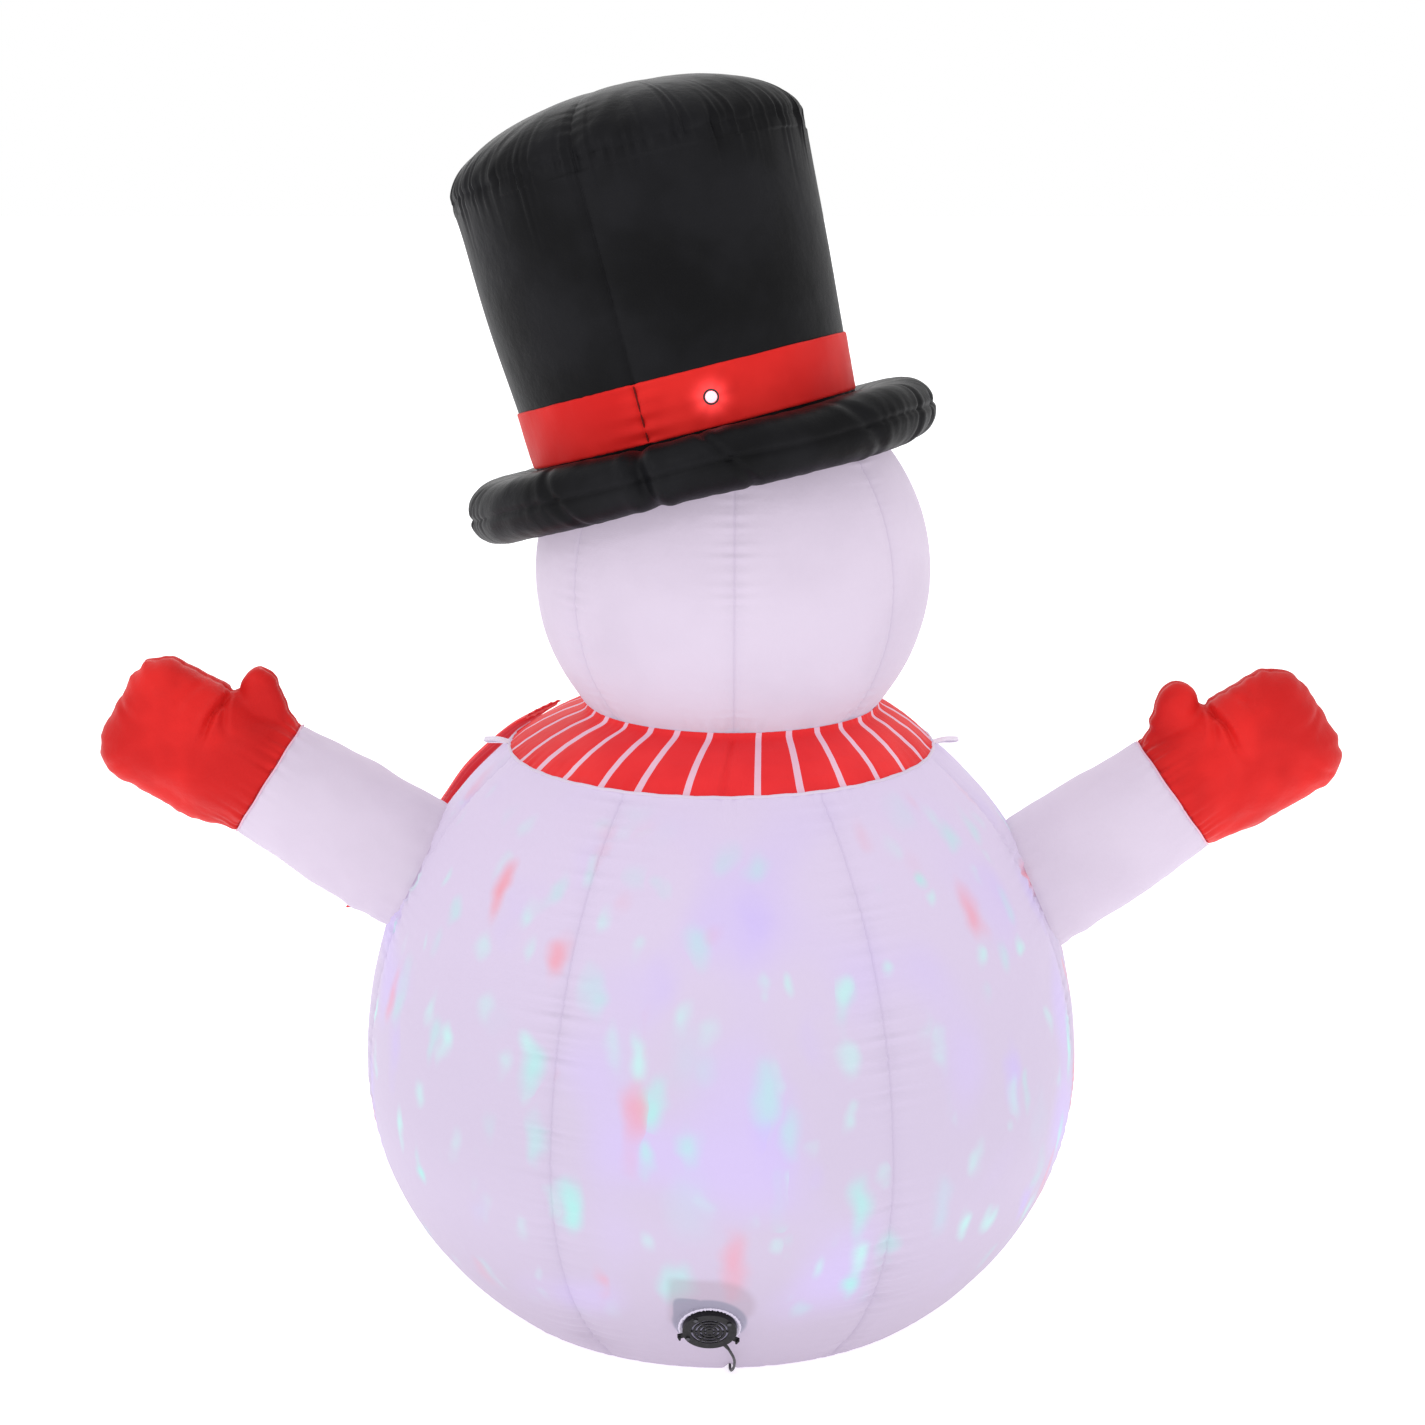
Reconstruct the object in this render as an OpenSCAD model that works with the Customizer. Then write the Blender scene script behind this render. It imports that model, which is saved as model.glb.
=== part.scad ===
// Inflatable yard snowman: fabric envelope, blower, light projector and lead.
// Millimetres. +Z up, the face looks along -Y, +X is the snowman's left.
// Origin: centre of the flat base panel, on the ground.

/* [Body ball] */
// Largest radius of the body ball
body_r = 539; // [520:1:560]
// Height of the widest part
body_mid_z = 347; // [335:1:360]
// Half height of the lower part of the ball's ellipse
body_lower = 470; // [450:1:490]
// Half height of the upper part of the ball's ellipse
body_upper = 598; // [580:1:615]
// Wall used for every fabric shell
wall = 1.5; // [1.2:0.1:2]

/* [Head and collar] */
// Height of the collar's lower seam
collar_z = 833; // [828:1:838]
// Height of the neck opening
neck_z = 900; // [896:1:904]
// Radius of the head ball
head_r = 290; // [285:1:295]
// Sideways place of the head's centre
head_x = -17; // [-20:1:-10]
// Height of the head's centre
head_z = 1093; // [1088:1:1098]

/* [Hat] */
// Lean of the hat to the snowman's left, degrees
hat_tilt = 14.1; // [13:0.1:15]
// Lean of the hat towards the face, degrees
hat_lean = 5.5; // [4:0.1:7]
// Length of the straight crown
crown_len = 440; // [430:1:450]
// Radius of the crown at the brim
crown_r = 237; // [236:0.5:238]
// Radius of the crown at the gather seam
crown_top_r = 262; // [255:1:266]
// Height of the gathered dome above the seam
dome_h = 103; // [90:1:110]
// Outer radius of the brim
brim_r = 350; // [340:1:358]
// Thickness of the brim
brim_t = 90; // [80:1:94]
// Height of the band
band_h = 83; // [75:1:90]

/* [Arms] */
// Radius of a sleeve at the shoulder
sleeve_r = 104.5; // [100:0.5:106]
// Radius of a sleeve at the wrist
wrist_r = 93; // [90:0.5:95]
// Distance from shoulder centre to wrist seam
sleeve_len = 242; // [236:1:248]
// Radius of the rounded edges of a mitten
mitten_edge = 60; // [55:1:62]

/* [Blower] */
// Outer radius of the intake cap
cap_r = 37.5; // [37:0.5:38.5]
// Downward tilt of the intake, degrees
blower_tilt = 27; // [25:0.5:29]
// Radius of the scroll casing
scroll_r = 50; // [49:0.5:51]
// Radius of the impeller
impeller_r = 40; // [36:0.5:42]

/* [Projector] */
// Height of the rotating dome's centre
dome_z = 335; // [325:1:345]
// Radius of the rotating dome
dome_r = 48; // [46:0.5:50]

/* [Lead] */
// Diameter of the low-voltage lead
lead_d = 4; // [3.6:0.1:4]
// Radius of the coil at the middle of its turns
coil_r = 23; // [22:0.5:24]

/* [Hidden] */

$fn = 96;
gap = 0.3;                      // clearance between pieces that meet
ball_steps = 26;                // rings of the body's profile
base_r = body_radius(0);
collar_r = body_radius(collar_z);
neck_r = sqrt(head_r * head_r - pow(head_z - neck_z, 2));
// shoulders: place of the root on the ball's surface, and the arm's elevation
left_root = [473, 0, 646];
left_lift = 32.7;
right_root = [-480, 0, 613];
right_lift = 35.4;
shoulder_gap = 35;              // soft gusset between the ball and the rigid sleeve
// the collar's outline from its lower seam to the neck
collar_line = [[collar_r, collar_z + gap], [(collar_r + neck_r) / 2 + 8, (collar_z + neck_z) / 2 + 2],
    [neck_r + 4, neck_z - 8], [neck_r + 1, neck_z - gap]];
// hat: the centre of the brim plane, on an axis through the head's centre
hat_x = 28;
hat_y = -16;
hat_z = 1255;
lamp_turn = 9.6;                // lamp's angle round the band from the rear
lamp_r = 8;
// blower: centre of the intake on the fabric, local +Z points outwards
blower_at = [17, 472, 121];
plate_z = -14;                  // inner face of the casing's 3 mm front plate
scroll_depth = 38;
gland_turn = 120;               // angle of the lead's exit round the cap
duct_w = 40;
duct_top = -64;
cap_screw_r = 33;
// tunnel in the base panel over the lead
tunnel_x = -12;
tunnel_w = 8;
tunnel_h = 5.5;
ridge_t = 2;
// directions of the scarf's tail and knot, degrees forward of the left side
tail_turn = 22;
knot_turn = 48;
// coil and adapter, in front of the base under the ball's overhang
coil_x = tunnel_x - coil_r;
coil_y = -430;
coil_wide = 13;
coil_high = 13;
adapter_size = [72, 44, 30];
adapter_boot = 24;              // length of the adapter's strain relief
adapter_x = coil_x - 20 - adapter_boot - adapter_size[0];

// the lead from its boot, down the underside of the ball and under the base
lead_path = [[-9, 456, 78.6], [-12, 449, 68], [-13.5, 439, 57], [-14, 428, 45.5],
    [-13.5, 417, 34.5], [-13, 406, 24], [-12.5, 395, 14.5], [-12, 383.5, 7], [-12, 371, 3],
    [-12, 358, 2], [-12, 340, 2], [-12, 310, 2], [-12, 270, 2], [-12, 220, 2], [-12, 160, 2],
    [-12, 100, 2], [-12, 40, 2], [-12, -20, 2], [-12, -80, 2], [-12, -140, 2],
    [-12, -200, 2], [-12, -255, 2], [-12, -300, 2], [-12, -340, 2], [-12, -370, 2],
    [-12, -392, 2], [-12, -409.2, 2]];
// the inner lead from the projector to the blower
inner_path = [[34, 12, 412], [48, 20, 408], [62, 32, 385], [68, 42, 330], [70, 55, 260],
    [70, 70, 180], [68, 92, 100], [62, 130, 40], [52, 185, 14], [42, 250, 12],
    [32, 310, 24], [24, 352, 56], [19, 374, 92]];
// the lamp lead from the projector up the strap and through the neck to the hat
lamp_path = [[16, 10, 436], [16, 12, 480], [16, 10, 600], [16, 8, 720], [16, 8, 812],
    [18, 24, 850], [12, 60, 910], [0, 120, 1000], [-10, 180, 1090], [-8, 205, 1180],
    [-1, 196.3, 1269.8], [5, 197.5, 1320.1], [6.7, 201.1, 1356.6]];

// radius of the body ball at a height
function body_radius(z) =
    body_r * sqrt(1 - pow((z - body_mid_z) / (z < body_mid_z ? body_lower : body_upper), 2));

// heights of the profile's rings, evenly spaced
function ring_heights(top) = [for (i = [0:ball_steps]) top * i / ball_steps];

// points of a swept tube: a ring of points round each route point
function unit(v) = v / norm(v);
function step_dir(p, i) = unit(p[min(i + 1, len(p) - 1)] - p[max(i - 1, 0)]);
function side_dir(d) = unit(cross(abs(d[2]) > 0.9 ? [1, 0, 0] : [0, 0, 1], d));
function swept_sides(p) = [for (i = 0, s = side_dir(step_dir(p, 0)); i < len(p); i = i + 1,
    s = i < len(p) ? unit(s - (s * step_dir(p, i)) * step_dir(p, i)) : s) s];

module swept_tube(p, r, sides = 8) {
    across = swept_sides(p);
    points = [for (i = [0:len(p) - 1]) let (d = step_dir(p, i), a = across[i], b = cross(d, a))
        for (k = [0:sides - 1]) p[i] + r * (cos(360 * k / sides) * a + sin(360 * k / sides) * b)];
    walls = [for (i = [0:len(p) - 2]) for (k = [0:sides - 1]) let (m = (k + 1) % sides)
        [i * sides + k, (i + 1) * sides + k, (i + 1) * sides + m, i * sides + m]];
    first = [for (k = [0:sides - 1]) k];
    last = [for (k = [sides - 1:-1:0]) (len(p) - 1) * sides + k];
    polyhedron(points = points, faces = concat([first], walls, [last]));
}

// solid of the ball, grown or shrunk sideways
module ball_solid(grow = 0, top = collar_z) {
    heights = ring_heights(top);
    rotate_extrude() polygon(concat([[0, 0]], [for (z = heights) [body_radius(z) + grow, z]],
        [[0, top]]));
}

module in_hat() { translate([hat_x, hat_y, hat_z]) rotate([hat_lean, hat_tilt, 0]) children(); }
module in_blower() { translate(blower_at) rotate([-90 - blower_tilt, 0, 0]) children(); }
// an arm's frame: +Z along the arm, +X on its upper side
module in_arm(side) {
    root = side > 0 ? left_root : right_root;
    lift = side > 0 ? left_lift : right_lift;
    translate(root) mirror([side > 0 ? 0 : 1, 0, 0]) rotate([0, 90 - lift, 0])
        mirror([1, 0, 0]) children();
}

module body_envelope() {
    color("lavender") difference() {
        ball_solid();
        ball_shell_inside();
        in_blower() translate([0, 0, -20]) cylinder(r = 48, h = 50);
        for (side = [-1, 1]) in_arm(side) translate([0, 0, -60]) cylinder(r = 98, h = 90);
        for (y = [-1, 1]) translate([tunnel_x, y * base_r, 0])
            cube([tunnel_w + 2 * ridge_t + 1, 60, 2 * (tunnel_h + ridge_t + 1)], center = true);
    }
}

module ball_shell_inside() {
    heights = ring_heights(collar_z);
    rotate_extrude() polygon(concat([[0, -1], [body_radius(0) - wall, -1]],
        [for (z = heights) [body_radius(z) - wall, z]], [[collar_r - wall, collar_z + 1],
        [0, collar_z + 1]]));
}

// flat bottom, raised in a low ridge where it lies over the lead
module base_panel() {
    color("lavender") intersection() {
        difference() {
            union() {
                cylinder(r = base_r - wall - gap, h = wall);
                translate([tunnel_x, 0, (tunnel_h + ridge_t) / 2])
                    cube([tunnel_w + 2 * ridge_t, 2 * base_r, tunnel_h + ridge_t], center = true);
            }
            translate([tunnel_x, 0, tunnel_h / 2 - 1])
                cube([tunnel_w, 3 * base_r, tunnel_h + 2], center = true);
        }
        cylinder(r = base_r - 0.2, h = 20);
    }
}

module scarf_collar() {
    color("firebrick") rotate_extrude() polygon(concat(collar_line,
        [for (i = [3:-1:0]) collar_line[i] - [wall + 1, 0]]));
}

// welt sewn round the collar's lower edge
module collar_piping() {
    color("mistyrose") difference() {
        translate([0, 0, collar_z]) rotate_extrude() translate([collar_r + 4.4, 0]) circle(r = 4);
        for (side = [-1, 1]) translate([side * (collar_r + 10), 0, collar_z])
            cube([40, 27, 20], center = true);
        ball_solid(gap);
    }
}

module scarf_knot() {
    color("firebrick") rotate([0, 0, -knot_turn]) difference() {
        translate([290, 0, 865]) sphere(r = 27, $fn = 48);
        rotate_extrude() polygon(concat([[0, collar_z]],
            [for (p = collar_line) p + [gap, 0]], [[0, neck_z]]));
    }
}

// strip of webbing folded into a flat loop, sewn in above the collar's seam
module tether_loop(side) {
    loop_w = 25;
    loop_t = 1.2;
    eye_h = 5.4;
    out = 34;
    root_x = collar_r + 6;
    translate([side * root_x, loop_w / 2, collar_z]) rotate([90, 0, 0])
        linear_extrude(loop_w) mirror([side > 0 ? 0 : 1, 0]) difference() {
            union() {
                translate([0, -eye_h / 2 - loop_t]) square([out - 4, eye_h + 2 * loop_t]);
                translate([out - 4, 0]) circle(r = eye_h / 2 + loop_t, $fn = 32);
            }
            translate([loop_t, -eye_h / 2]) square([out - 4 - loop_t, eye_h]);
            translate([out - 4, 0]) circle(r = eye_h / 2, $fn = 32);
        }
}
module tether_loop_left() { color("dimgray") tether_loop(1); }
module tether_loop_right() { color("dimgray") tether_loop(-1); }

// fabric that crosses from the ball to the sleeve
module shoulder_gusset(side) {
    difference() {
        in_arm(side) difference() {
            translate([0, 0, -40]) cylinder(r = sleeve_r, h = 40 + shoulder_gap - gap);
            translate([0, 0, -50]) cylinder(r = sleeve_r - wall, h = 90);
        }
        ball_solid(gap);
    }
}
module shoulder_gusset_left() { color("lavender") shoulder_gusset(1); }
module shoulder_gusset_right() { color("lavender") shoulder_gusset(-1); }

module coat_buttons() {
    button_r = 42;
    button_t = 4;
    color("black") for (z = [420, 570, 710]) intersection() {
        difference() {
            ball_solid(button_t);
            ball_solid(gap);
        }
        translate([0, 0, z]) rotate([90, 0, 0]) cylinder(r = button_r, h = body_r + 50);
    }
}

// blower, from the fabric inwards
module blower_cuff() {
    color("white") in_blower() difference() {
        union() {
            translate([0, 0, -9]) difference() {
                cylinder(r = 47.7, h = 10);
                translate([0, 0, -1]) cylinder(r = 46.2, h = 10);
            }
            translate([0, 0, 1]) rotate_extrude() translate([43.5, 0])
                intersection() { circle(r = 4.2, $fn = 32); translate([-5, 0]) square([10, 5]); }
        }
        translate([0, 0, -12]) cylinder(r = 28.3, h = 20);
        blower_screw_places() translate([0, 0, -12]) cylinder(r = 1.7, h = 20);
        gland_place() translate([0, 0, 30]) cylinder(r = 3.2, h = 30, $fn = 32);
    }
}
module blower_screw_places() {
    for (a = [25, 215, 305]) rotate([0, 0, a]) translate([cap_screw_r, 0, 0]) children();
}
// the lead leaves the cap sideways; +Z runs outwards along it
module gland_place() { rotate([0, 0, gland_turn]) translate([0, 0, 5]) rotate([0, 90, 0]) children(); }

// round scroll with its outlet duct; an inset outline runs on past the duct's open end
module scroll_outline(inset = 0) {
    circle(r = scroll_r - inset);
    translate([8 + inset, duct_top - inset]) square([duct_w - 2 * inset, inset - duct_top]);
}

module blower_front_shell() {
    color("gray") in_blower() difference() {
        union() {
            translate([0, 0, plate_z]) linear_extrude(3) scroll_outline();
            translate([0, 0, plate_z - 16]) linear_extrude(16.5) difference() {
                scroll_outline();
                scroll_outline(2);
            }
            translate([0, 0, plate_z]) cylinder(r = 28, h = -plate_z);
            blower_screw_places() translate([0, 0, plate_z + 1]) cylinder(r = 3.5, h = 12);
        }
        translate([0, 0, plate_z - 1]) cylinder(r = 26, h = 30);
        blower_screw_places() translate([0, 0, plate_z - 2]) cylinder(r = 1.5, h = 20);
    }
}

module blower_rear_shell() {
    wall_h = scroll_depth - 16 - gap;
    color("dimgray") in_blower() translate([0, 0, plate_z - scroll_depth]) {
        linear_extrude(2) difference() {
            rear_outline();
            rear_screw_places() circle(r = 1.7, $fn = 32);
            circle(r = 5);
        }
        translate([0, 0, 2]) linear_extrude(wall_h - 2) difference() {
            rear_outline();
            scroll_outline(2);
            rear_screw_places() circle(r = 1.7, $fn = 32);
        }
    }
}
// scroll outline with the screw bosses on its rim
module rear_outline() {
    scroll_outline();
    rear_screw_places() circle(r = 4, $fn = 32);
}
module rear_screw_places() {
    for (a = [35, 125, 215]) rotate([0, 0, a]) translate([scroll_r + 2.5, 0, 0]) children();
}
module blower_screws() {
    color("silver") in_blower() rear_screw_places() {
        translate([0, 0, plate_z - scroll_depth - 2.3]) cylinder(r = 3, h = 2.2, $fn = 32);
        translate([0, 0, plate_z - scroll_depth - 0.2]) cylinder(r = 1.5, h = 18, $fn = 32);
    }
}

module blower_cap() {
    color("black") in_blower() difference() {
        union() {
            translate([0, 0, 1.3]) cylinder(r = cap_r, h = 8.7);
            for (a = [18, 150]) rotate([0, 0, a]) translate([cap_r - 1, -4, 5.6]) hook_tab();
        }
        cylinder(r = cap_r - 2, h = 8);
        for (r = [5, 11, 17, 23]) vent_ring(r, 3);
        blower_screw_places() translate([0, 0, -2]) cylinder(r = 1.7, h = 20, $fn = 32);
        gland_place() translate([0, 0, 30]) cylinder(r = 3.2, h = 30, $fn = 32);
    }
    color("black") in_blower() difference() {
        blower_screw_places() translate([0, 0, 1.3]) cylinder(r = 3.4, h = 7);
        blower_screw_places() translate([0, 0, -2]) cylinder(r = 1.7, h = 20, $fn = 32);
    }
}
// ring-shaped vent, bridged by spokes
module vent_ring(inner, w) {
    difference() {
        translate([0, 0, 7]) cylinder(r = inner + w, h = 5);
        translate([0, 0, 6]) cylinder(r = inner, h = 7);
        for (a = [0, 60, 120]) rotate([0, 0, a]) translate([-50, -1.2, 0]) cube([100, 2.4, 20]);
    }
}
// small hook that holds the lead or a cuff's drawstring
module hook_tab() {
    cube([9, 8, 2.5]);
    translate([6.5, 0, 0]) cube([2.5, 8, 6]);
}
module cap_screws() {
    color("silver") in_blower() blower_screw_places() {
        translate([0, 0, 10.1]) cylinder(r = 3, h = 1.8, $fn = 32);
        translate([0, 0, -11]) cylinder(r = 1.4, h = 21.2, $fn = 32);
    }
}

module blower_motor() {
    color("silver") in_blower() difference() {
        translate([0, 0, plate_z - scroll_depth - 26.3]) cylinder(r = 17, h = 26);
        translate([0, 0, plate_z - scroll_depth - 20]) cylinder(r = 2, h = 30);
    }
}

// squirrel-cage wheel
module impeller() {
    blades = 24;
    color("white") in_blower() translate([0, 0, plate_z - scroll_depth + 5]) difference() {
        union() {
            cylinder(r = impeller_r, h = 2);
            cylinder(r = 7, h = 12);
            for (i = [0:blades - 1]) rotate([0, 0, i * 360 / blades])
                translate([impeller_r - 10, 0, 1]) rotate([0, 0, 35]) cube([9, 1.2, 25]);
            translate([0, 0, 25]) difference() {
                cylinder(r = impeller_r, h = 2);
                translate([0, 0, -1]) cylinder(r = impeller_r - 3, h = 4);
            }
        }
        translate([0, 0, -1]) cylinder(r = 1.6, h = 20);
    }
}
module impeller_shaft() {
    color("silver") in_blower() translate([0, 0, plate_z - scroll_depth - 18])
        cylinder(r = 1.5, h = 34, $fn = 32);
}

module lead_gland() {
    color("black") in_blower() gland_place() translate([0, 0, 34.6]) cylinder(r = 3, h = 5, $fn = 32);
}
module lead_boot() {
    color("black") in_blower() gland_place() translate([0, 0, 39.7])
        cylinder(r1 = 3, r2 = 2.3, h = 11.4, $fn = 32);
}

module power_lead_run() { color("black") swept_tube(lead_path, lead_d / 2); }

module power_lead_coil() {
    color("black") translate([coil_x, coil_y, 0]) rotate_extrude()
        translate([coil_r - coil_wide / 2, 0]) square([coil_wide, coil_high]);
}

// plug-in adapter lying on its side beside the coil
module power_adapter() {
    edge = 5;
    boot_y = coil_y - coil_r - 2;
    color("black") {
        translate([adapter_x, boot_y - adapter_size[1] / 2, 0]) difference() {
            cube(adapter_size);
            for (y = [0, adapter_size[1]]) for (z = [0, adapter_size[2]])
                translate([-1, y, z]) rotate([45, 0, 0]) translate([0, -edge / 2, -edge / 2])
                    cube([adapter_size[0] + 2, edge, edge]);
        }
        translate([adapter_x + adapter_size[0], boot_y, 7]) rotate([0, 90, 0])
            cylinder(r1 = 5, r2 = 2.6, h = adapter_boot, $fn = 32);
    }
}
module adapter_prongs() {
    color("silver") for (x = [-6.4, 6.4])
        translate([adapter_x + adapter_size[0] / 2 + x - 0.75,
            coil_y - coil_r - 2 - adapter_size[1] / 2 - 17.1, 12]) cube([1.5, 17, 6.3]);
}

// webbing across the neck with a drop that carries the projector
module hanger_strap() {
    strap_w = 25;
    strap_t = 2;
    drop_top = collar_z - 4;
    color("dimgray") {
        intersection() {
            translate([-collar_r, -strap_w / 2, drop_top])
                cube([2 * collar_r, strap_w, strap_t]);
            cylinder(r = collar_r - wall - 0.4, h = 1000);
        }
        translate([-strap_w / 2, -strap_t / 2, 436]) cube([strap_w, strap_t, drop_top - 436]);
    }
}

module projector_housing() {
    color("dimgray") difference() {
        union() {
            translate([0, 0, 392]) cylinder(r = 34, h = 40);
            translate([-14, -5, 431]) cube([28, 10, 10]);
        }
        translate([0, 0, 391]) cylinder(r = 31, h = 38);
        translate([-13, -1.3, 435.5]) cube([26, 2.6, 20]);
    }
}
module projector_motor() {
    color("silver") difference() {
        translate([0, 0, 394]) cylinder(r = 14, h = 34.8);
        translate([0, 0, 390]) cylinder(r = 2, h = 28);
    }
}
module projector_led_board() {
    color("seagreen") difference() {
        union() {
            translate([0, 0, 362]) cylinder(r = 20, h = 1.6);
            for (a = [90, 210, 330]) rotate([0, 0, a]) translate([17, 0, 363])
                cylinder(r = 1.8, h = 65.9, $fn = 32);
        }
        translate([0, 0, 360]) cylinder(r = 3.5, h = 8);
    }
}
module projector_leds() {
    colors = ["red", "lime", "blue"];
    for (i = [0:2]) color(colors[i]) rotate([0, 0, 30 + i * 120])
        translate([12, 0, 356]) cylinder(r1 = 2.5, r2 = 3.5, h = 5.9, $fn = 32);
}
module projector_lens_globe() {
    color("lightcyan") difference() {
        translate([0, 0, dome_z]) sphere(r = dome_r);
        translate([0, 0, dome_z]) sphere(r = dome_r - 2);
        translate([0, 0, dome_z]) cylinder(r = 27, h = 60);
        translate([0, 0, dome_z - dome_r - 1]) cylinder(r = 4, h = 6);
    }
}
module globe_shaft() {
    color("silver") {
        translate([0, 0, dome_z - dome_r + 0.5]) cylinder(r = 1.6, h = 128, $fn = 32);
        translate([0, 0, dome_z - dome_r + 3.4]) cylinder(r = 9, h = 3, $fn = 48);
        translate([0, 0, dome_z - dome_r - 1]) cylinder(r = 3.7, h = 4, $fn = 32);
    }
}
module inner_light_lead() { color("black") swept_tube(inner_path, 1.6); }

module head_ball(r) { translate([head_x, 0, head_z]) sphere(r = r, $fn = 144); }

module head_envelope() {
    color("lavender") difference() {
        head_ball(head_r);
        head_ball(head_r - wall);
        translate([head_x, 0, 0]) cylinder(r = 2 * head_r, h = neck_z);
        in_hat() cylinder(r = 2 * head_r, h = 2 * head_r);
    }
}

// a thin patch on the head, facing forwards, at an offset from its centre
module face_patch(x, z, r, thick) {
    intersection() {
        difference() {
            head_ball(head_r + thick);
            head_ball(head_r + gap);
        }
        translate([head_x + x, 0, head_z + z]) rotate([90, 0, 0])
            cylinder(r = r, h = 2 * head_r, $fn = 48);
    }
}
module eyes() { color("black") for (x = [-80, 80]) face_patch(x, 45, 24, 3); }
module mouth_dots() {
    smile_r = 135;
    color("black") for (a = [-50:20:50])
        face_patch(smile_r * sin(a), 40 - smile_r * cos(a), 12, 3);
}
module carrot_nose() {
    nose_len = 150;
    color("darkorange") difference() {
        translate([head_x, -head_r + 20, head_z - 5]) rotate([88, 0, 0]) {
            cylinder(r1 = 36, r2 = 9, h = nose_len);
            translate([0, 0, nose_len - 1.5]) sphere(r = 9.1);
        }
        head_ball(head_r + gap);
    }
}

module brim_outline(inset) {
    r = brim_t / 2 - inset;
    inner = crown_radius(brim_t / 2) + gap + inset;
    outer = brim_r - brim_t / 2;
    translate([outer, 0]) circle(r = r);
    translate([inner, -r]) square([outer - inner, 2 * r]);
}
module hat_brim() {
    color("black") difference() {
        in_hat() rotate_extrude() difference() {
            brim_outline(0);
            brim_outline(wall);
        }
        head_ball(head_r + gap);
    }
}

// radius of the crown's wall at a height above the brim plane
function crown_radius(s) = crown_r + (crown_top_r - crown_r) * s / crown_len;
function dome_arc(rx, rz, s0) = [for (a = [0:7.5:90]) [rx * cos(a), s0 + rz * sin(a)]];

module hat_crown() {
    color("black") difference() {
        in_hat() rotate_extrude() polygon(concat([[crown_r - wall, gap], [crown_r, gap]],
            dome_arc(crown_top_r, dome_h, crown_len),
            [for (i = [12:-1:0]) dome_arc(crown_top_r - wall, dome_h - wall, crown_len)[i]]));
        lamp_place() translate([0, 0, -20]) cylinder(r = lamp_r + 2.2, h = 60, $fn = 48);
    }
}
module hat_band() {
    band_low = brim_t / 2 + gap;
    band_t = 2;
    color("red") difference() {
        in_hat() rotate_extrude() polygon([
            [crown_radius(band_low) + gap, band_low],
            [crown_radius(band_low) + gap + band_t, band_low],
            [crown_radius(band_low + band_h) + gap + band_t, band_low + band_h],
            [crown_radius(band_low + band_h) + gap, band_low + band_h]]);
        lamp_place() translate([0, 0, -20]) cylinder(r = lamp_r + 2.2, h = 60, $fn = 48);
    }
}
// the lamp's place on the band, +Z pointing outwards
module lamp_place() {
    lamp_s = brim_t / 2 + band_h / 2;
    in_hat() rotate([0, 0, 90 + lamp_turn]) translate([crown_radius(lamp_s), 0, lamp_s])
        rotate([0, 90, 0]) children();
}
module hat_lamp_grommet() {
    color("black") lamp_place() difference() {
        union() {
            translate([0, 0, -6]) cylinder(r = lamp_r + 2, h = 9.5, $fn = 48);
            translate([0, 0, 3.1]) cylinder(r = lamp_r + 3, h = 1.6, $fn = 48);
        }
        translate([0, 0, -7]) cylinder(r = lamp_r + 0.2, h = 20, $fn = 48);
    }
}
module hat_lamp_lens() {
    color("white") lamp_place() intersection() {
        translate([0, 0, -4]) sphere(r = 12, $fn = 48);
        translate([0, 0, -6]) cylinder(r = lamp_r, h = 20, $fn = 48);
    }
}
module hat_lamp_lead() { color("black") swept_tube(lamp_path, 1.3); }

module sleeve(side) {
    mid = sleeve_len / 2;
    color("lavender") in_arm(side) rotate_extrude() polygon([
        [sleeve_r, shoulder_gap], [sleeve_r - 3, mid], [wrist_r, sleeve_len - gap],
        [wrist_r - wall, sleeve_len - gap], [sleeve_r - 3 - wall, mid],
        [sleeve_r - wall, shoulder_gap]]);
}
// rounded mitten with its thumb up, in the arm's frame
module mitten_solid(inset) {
    r = mitten_edge - inset;
    thumb = mitten_edge / 2 - inset;
    hull() {
        translate([0, 0, sleeve_len + inset]) cylinder(r = wrist_r - inset, h = 3, $fn = 40);
        for (p = [[-56, 330], [-58, 433], [27, 433], [28, 335]])
            translate([p[0], 0, p[1]]) sphere(r = r, $fn = 24);
    }
    hull() {
        translate([55, 0, 300]) sphere(r = thumb + 4, $fn = 24);
        translate([116, 0, 326]) sphere(r = thumb, $fn = 24);
        translate([76, 0, 268]) sphere(r = thumb - 4, $fn = 24);
    }
}
module mitten(side) {
    color("red") in_arm(side) difference() {
        mitten_solid(0);
        mitten_solid(wall);
    }
}
module sleeve_left() { sleeve(1); }
module sleeve_right() { sleeve(-1); }
module mitten_left() { mitten(1); }
module mitten_right() { mitten(-1); }

// free end of the scarf, hanging over the left shoulder in front of the arm
module scarf_tail() {
    tail_w = 150;
    line = [[320, 838], [352, 812], [400, 766], [446, 706], [503, 640], [562, 574], [604, 527]];
    t = 5;
    up = [0.7, 0.7];
    color("firebrick") rotate([0, 0, -tail_turn]) translate([0, tail_w / 2, 0]) rotate([90, 0, 0])
        linear_extrude(tail_w) polygon(concat([for (p = line) p + t * up],
            [for (i = [len(line) - 1:-1:0]) line[i]]));
}

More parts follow.
